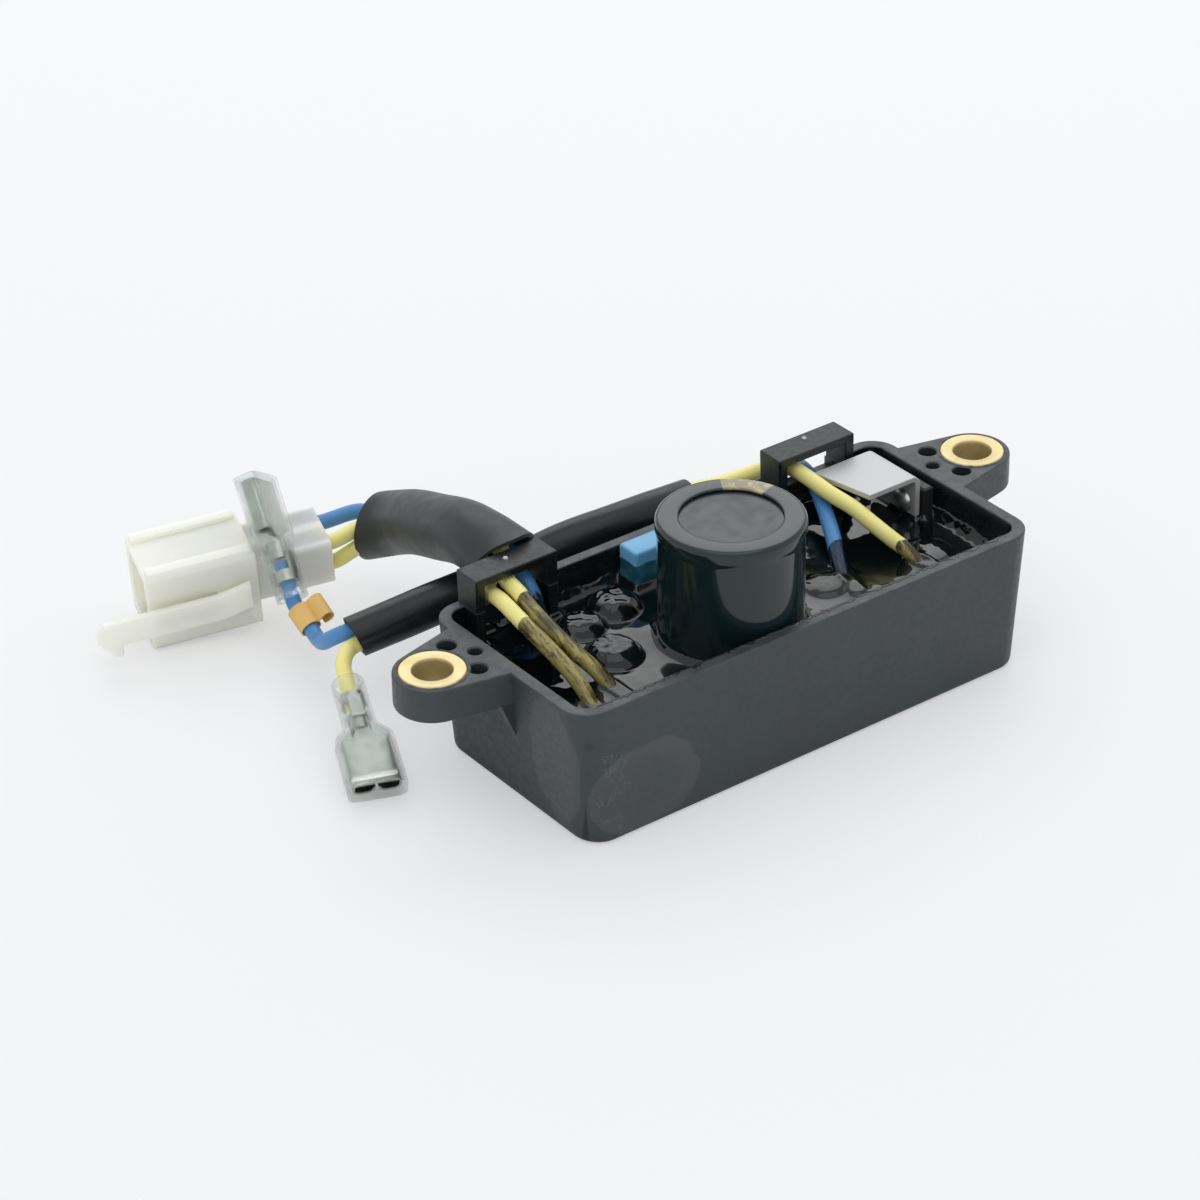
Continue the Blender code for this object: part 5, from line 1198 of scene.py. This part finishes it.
def makeResinPiece():
    r = resin
    entries = [point for points in leadPoints.values() for point in smoothLine(points[:6], 8)
               if point.z < r["level"] + 2.2]
    shape = bmesh.new()
    grid = bmesh.ops.create_grid(shape, x_segments=r["cells"][0], y_segments=r["cells"][1], size=0.5)
    wide, deep = r["right"] - r["left"], r["back"] - r["front"]
    for vert in grid["verts"]:
        x = r["left"] + (vert.co.x + 0.5) * wide
        y = r["front"] + (vert.co.y + 0.5) * deep
        ragged = 0.55 + 0.9 * noiseAt(x, y, 0.22, 3.0) + 0.45 * noiseAt(x, y, 0.7, 8.0)
        wallAway = min(x + 44.3, 44.3 - x, y + 18.2, 18.4 - y)
        rise = max(0.2, 1.2 + 1.1 * ragged) * exp(-max(wallAway, 0) / 0.8)
        capAway = ((x - capCentre[0]) ** 2 + (y - capCentre[1]) ** 2) ** 0.5 - bigCap["outer"]
        height, reach = r["capClimb"]
        rise = max(rise, height * exp(-max(capAway, 0) / reach))
        for *edges, height, reach in r["boxes"]:
            away = boxAway(x, y, *edges)
            if away < 5:
                rise = max(rise, height * exp(-away / reach))
        bump = 0.0
        for bx, by, radius, height in r["bumps"]:
            share = ((x - bx) ** 2 + (y - by) ** 2) ** 0.5 / (radius + 1.9)
            if share < 1:
                bump = max(bump, height * (1 - share ** 5) ** 1.6 * (1 + 0.10 * noiseAt(x, y, 0.8, 2.0)))
        height, reach = r["leadClimb"]
        for point in entries:
            plan = ((x - point.x) ** 2 + (y - point.y) ** 2) ** 0.5
            if plan < 4:
                near = easeIn((r["level"] + 1.6 - point.z) / 1.4)
                rise = max(rise, height * exp(-max(plan - 1.2, 0) / reach) * near)
        wave = 0.30 * noiseAt(x, y, 0.13, 1.0) + 0.035 * noiseAt(x, y, 0.5, 5.0)
        vert.co = at(x, y, r["level"] + rise + bump + wave)
    pushed = bmesh.ops.extrude_edge_only(shape, edges=[edge for edge in shape.edges if edge.is_boundary])
    for vert in vertsOf(pushed["geom"]):
        vert.co.z = r["low"] * mm
        vert.co.x = min(max(vert.co.x, -r["skirt"] * mm), r["skirt"] * mm)
    bmesh.ops.holes_fill(shape, edges=[edge for edge in shape.edges if edge.is_boundary])
    bmesh.ops.recalc_face_normals(shape, faces=shape.faces)
    newPiece("resinPour", shape, "resin", "potting_resin", "potting_resin", smooth=0).data.shade_smooth()


makeResinPiece()
print("resin poured")

# Solids that stay as they are and get their finish here
keptNodes = {"circuit_board": "laminate", "power_transistor": "component", "varistor": "olive",
             "capacitor_can": "aluminium", "resistor_1": "olive", "resistor_2": "olive",
             **{f"small_capacitor_{number}": "component" for number in (1, 2, 3)},
             **{f"diode_{number}": "component" for number in (1, 2, 3, 4)}}
for node, finish in keptNodes.items():
    dress(nodes[node].data, finish, 30)

# Floor and light
studio = {"floor": 4.0, "floorColour": (0.905, 0.910, 0.915), "seen": (0.913, 0.921, 0.938), "world": 0.84,
          "lift": 0.45}
lamps = {
    "backKey": {"place": (0.62, 0.84, 0.95), "size": (1.3, 0.9), "power": 4.6},
    "overhead": {"place": (-0.1, -0.2, 1.4), "size": (1.2, 1.2), "power": 2.8},
}


# The floor's shadow is lightened for the camera, as the photo's background is nearly white
def makeFloor():
    s = Surface("paleFloor")
    s.set(colour=studio["floorColour"], rough=0.6, specular=0.1)
    share = s.times(s.add("LightPath", {}).outputs["Is Camera Ray"], studio["lift"])
    glow = s.add("Emission", {"Color": studio["seen"]})
    both = s.add("MixShader", {0: share, 1: s.shader.outputs[0], 2: glow.outputs[0]})
    linkValue(s.tree, both.outputs[0], s.tree.nodes["Material Output"].inputs["Surface"])
    shape = bmesh.new()
    bmesh.ops.create_grid(shape, x_segments=1, y_segments=1, size=studio["floor"])
    floor = placed("floor", meshOf("floor", shape))
    floor.data.materials.append(s.material)


def makeWorld():
    world = bpy.data.worlds.new("studio")
    bpy.context.scene.world = world
    world.use_nodes = True
    tree = world.node_tree
    path = addNode(tree, "LightPath", {}).outputs
    rays = {0: path["Is Camera Ray"], 1: path["Is Transmission Ray"]}
    seen = addNode(tree, "Math", rays, operation="MAXIMUM")
    strength = addNode(tree, "MapRange", {"Value": seen.outputs[0], "To Min": studio["world"], "To Max": 1.0})
    back = tree.nodes["Background"]
    linkValue(tree, strength.outputs["Result"], back.inputs["Strength"])
    linkValue(tree, studio["seen"], back.inputs["Color"])


def makeLight(name, lamp):
    data = bpy.data.lights.new(name, "AREA")
    data.shape = "RECTANGLE"
    data.size, data.size_y = lamp["size"]
    data.energy = lamp["power"]
    light = placed(name, data)
    light.location = lamp["place"]
    light.rotation_euler = (-Vector(lamp["place"])).to_track_quat("-Z", "Y").to_euler()


makeFloor()
makeWorld()
for name, lamp in lamps.items():
    makeLight(name, lamp)
bpy.context.scene.view_settings.view_transform = "Standard"
print("floor and light set")
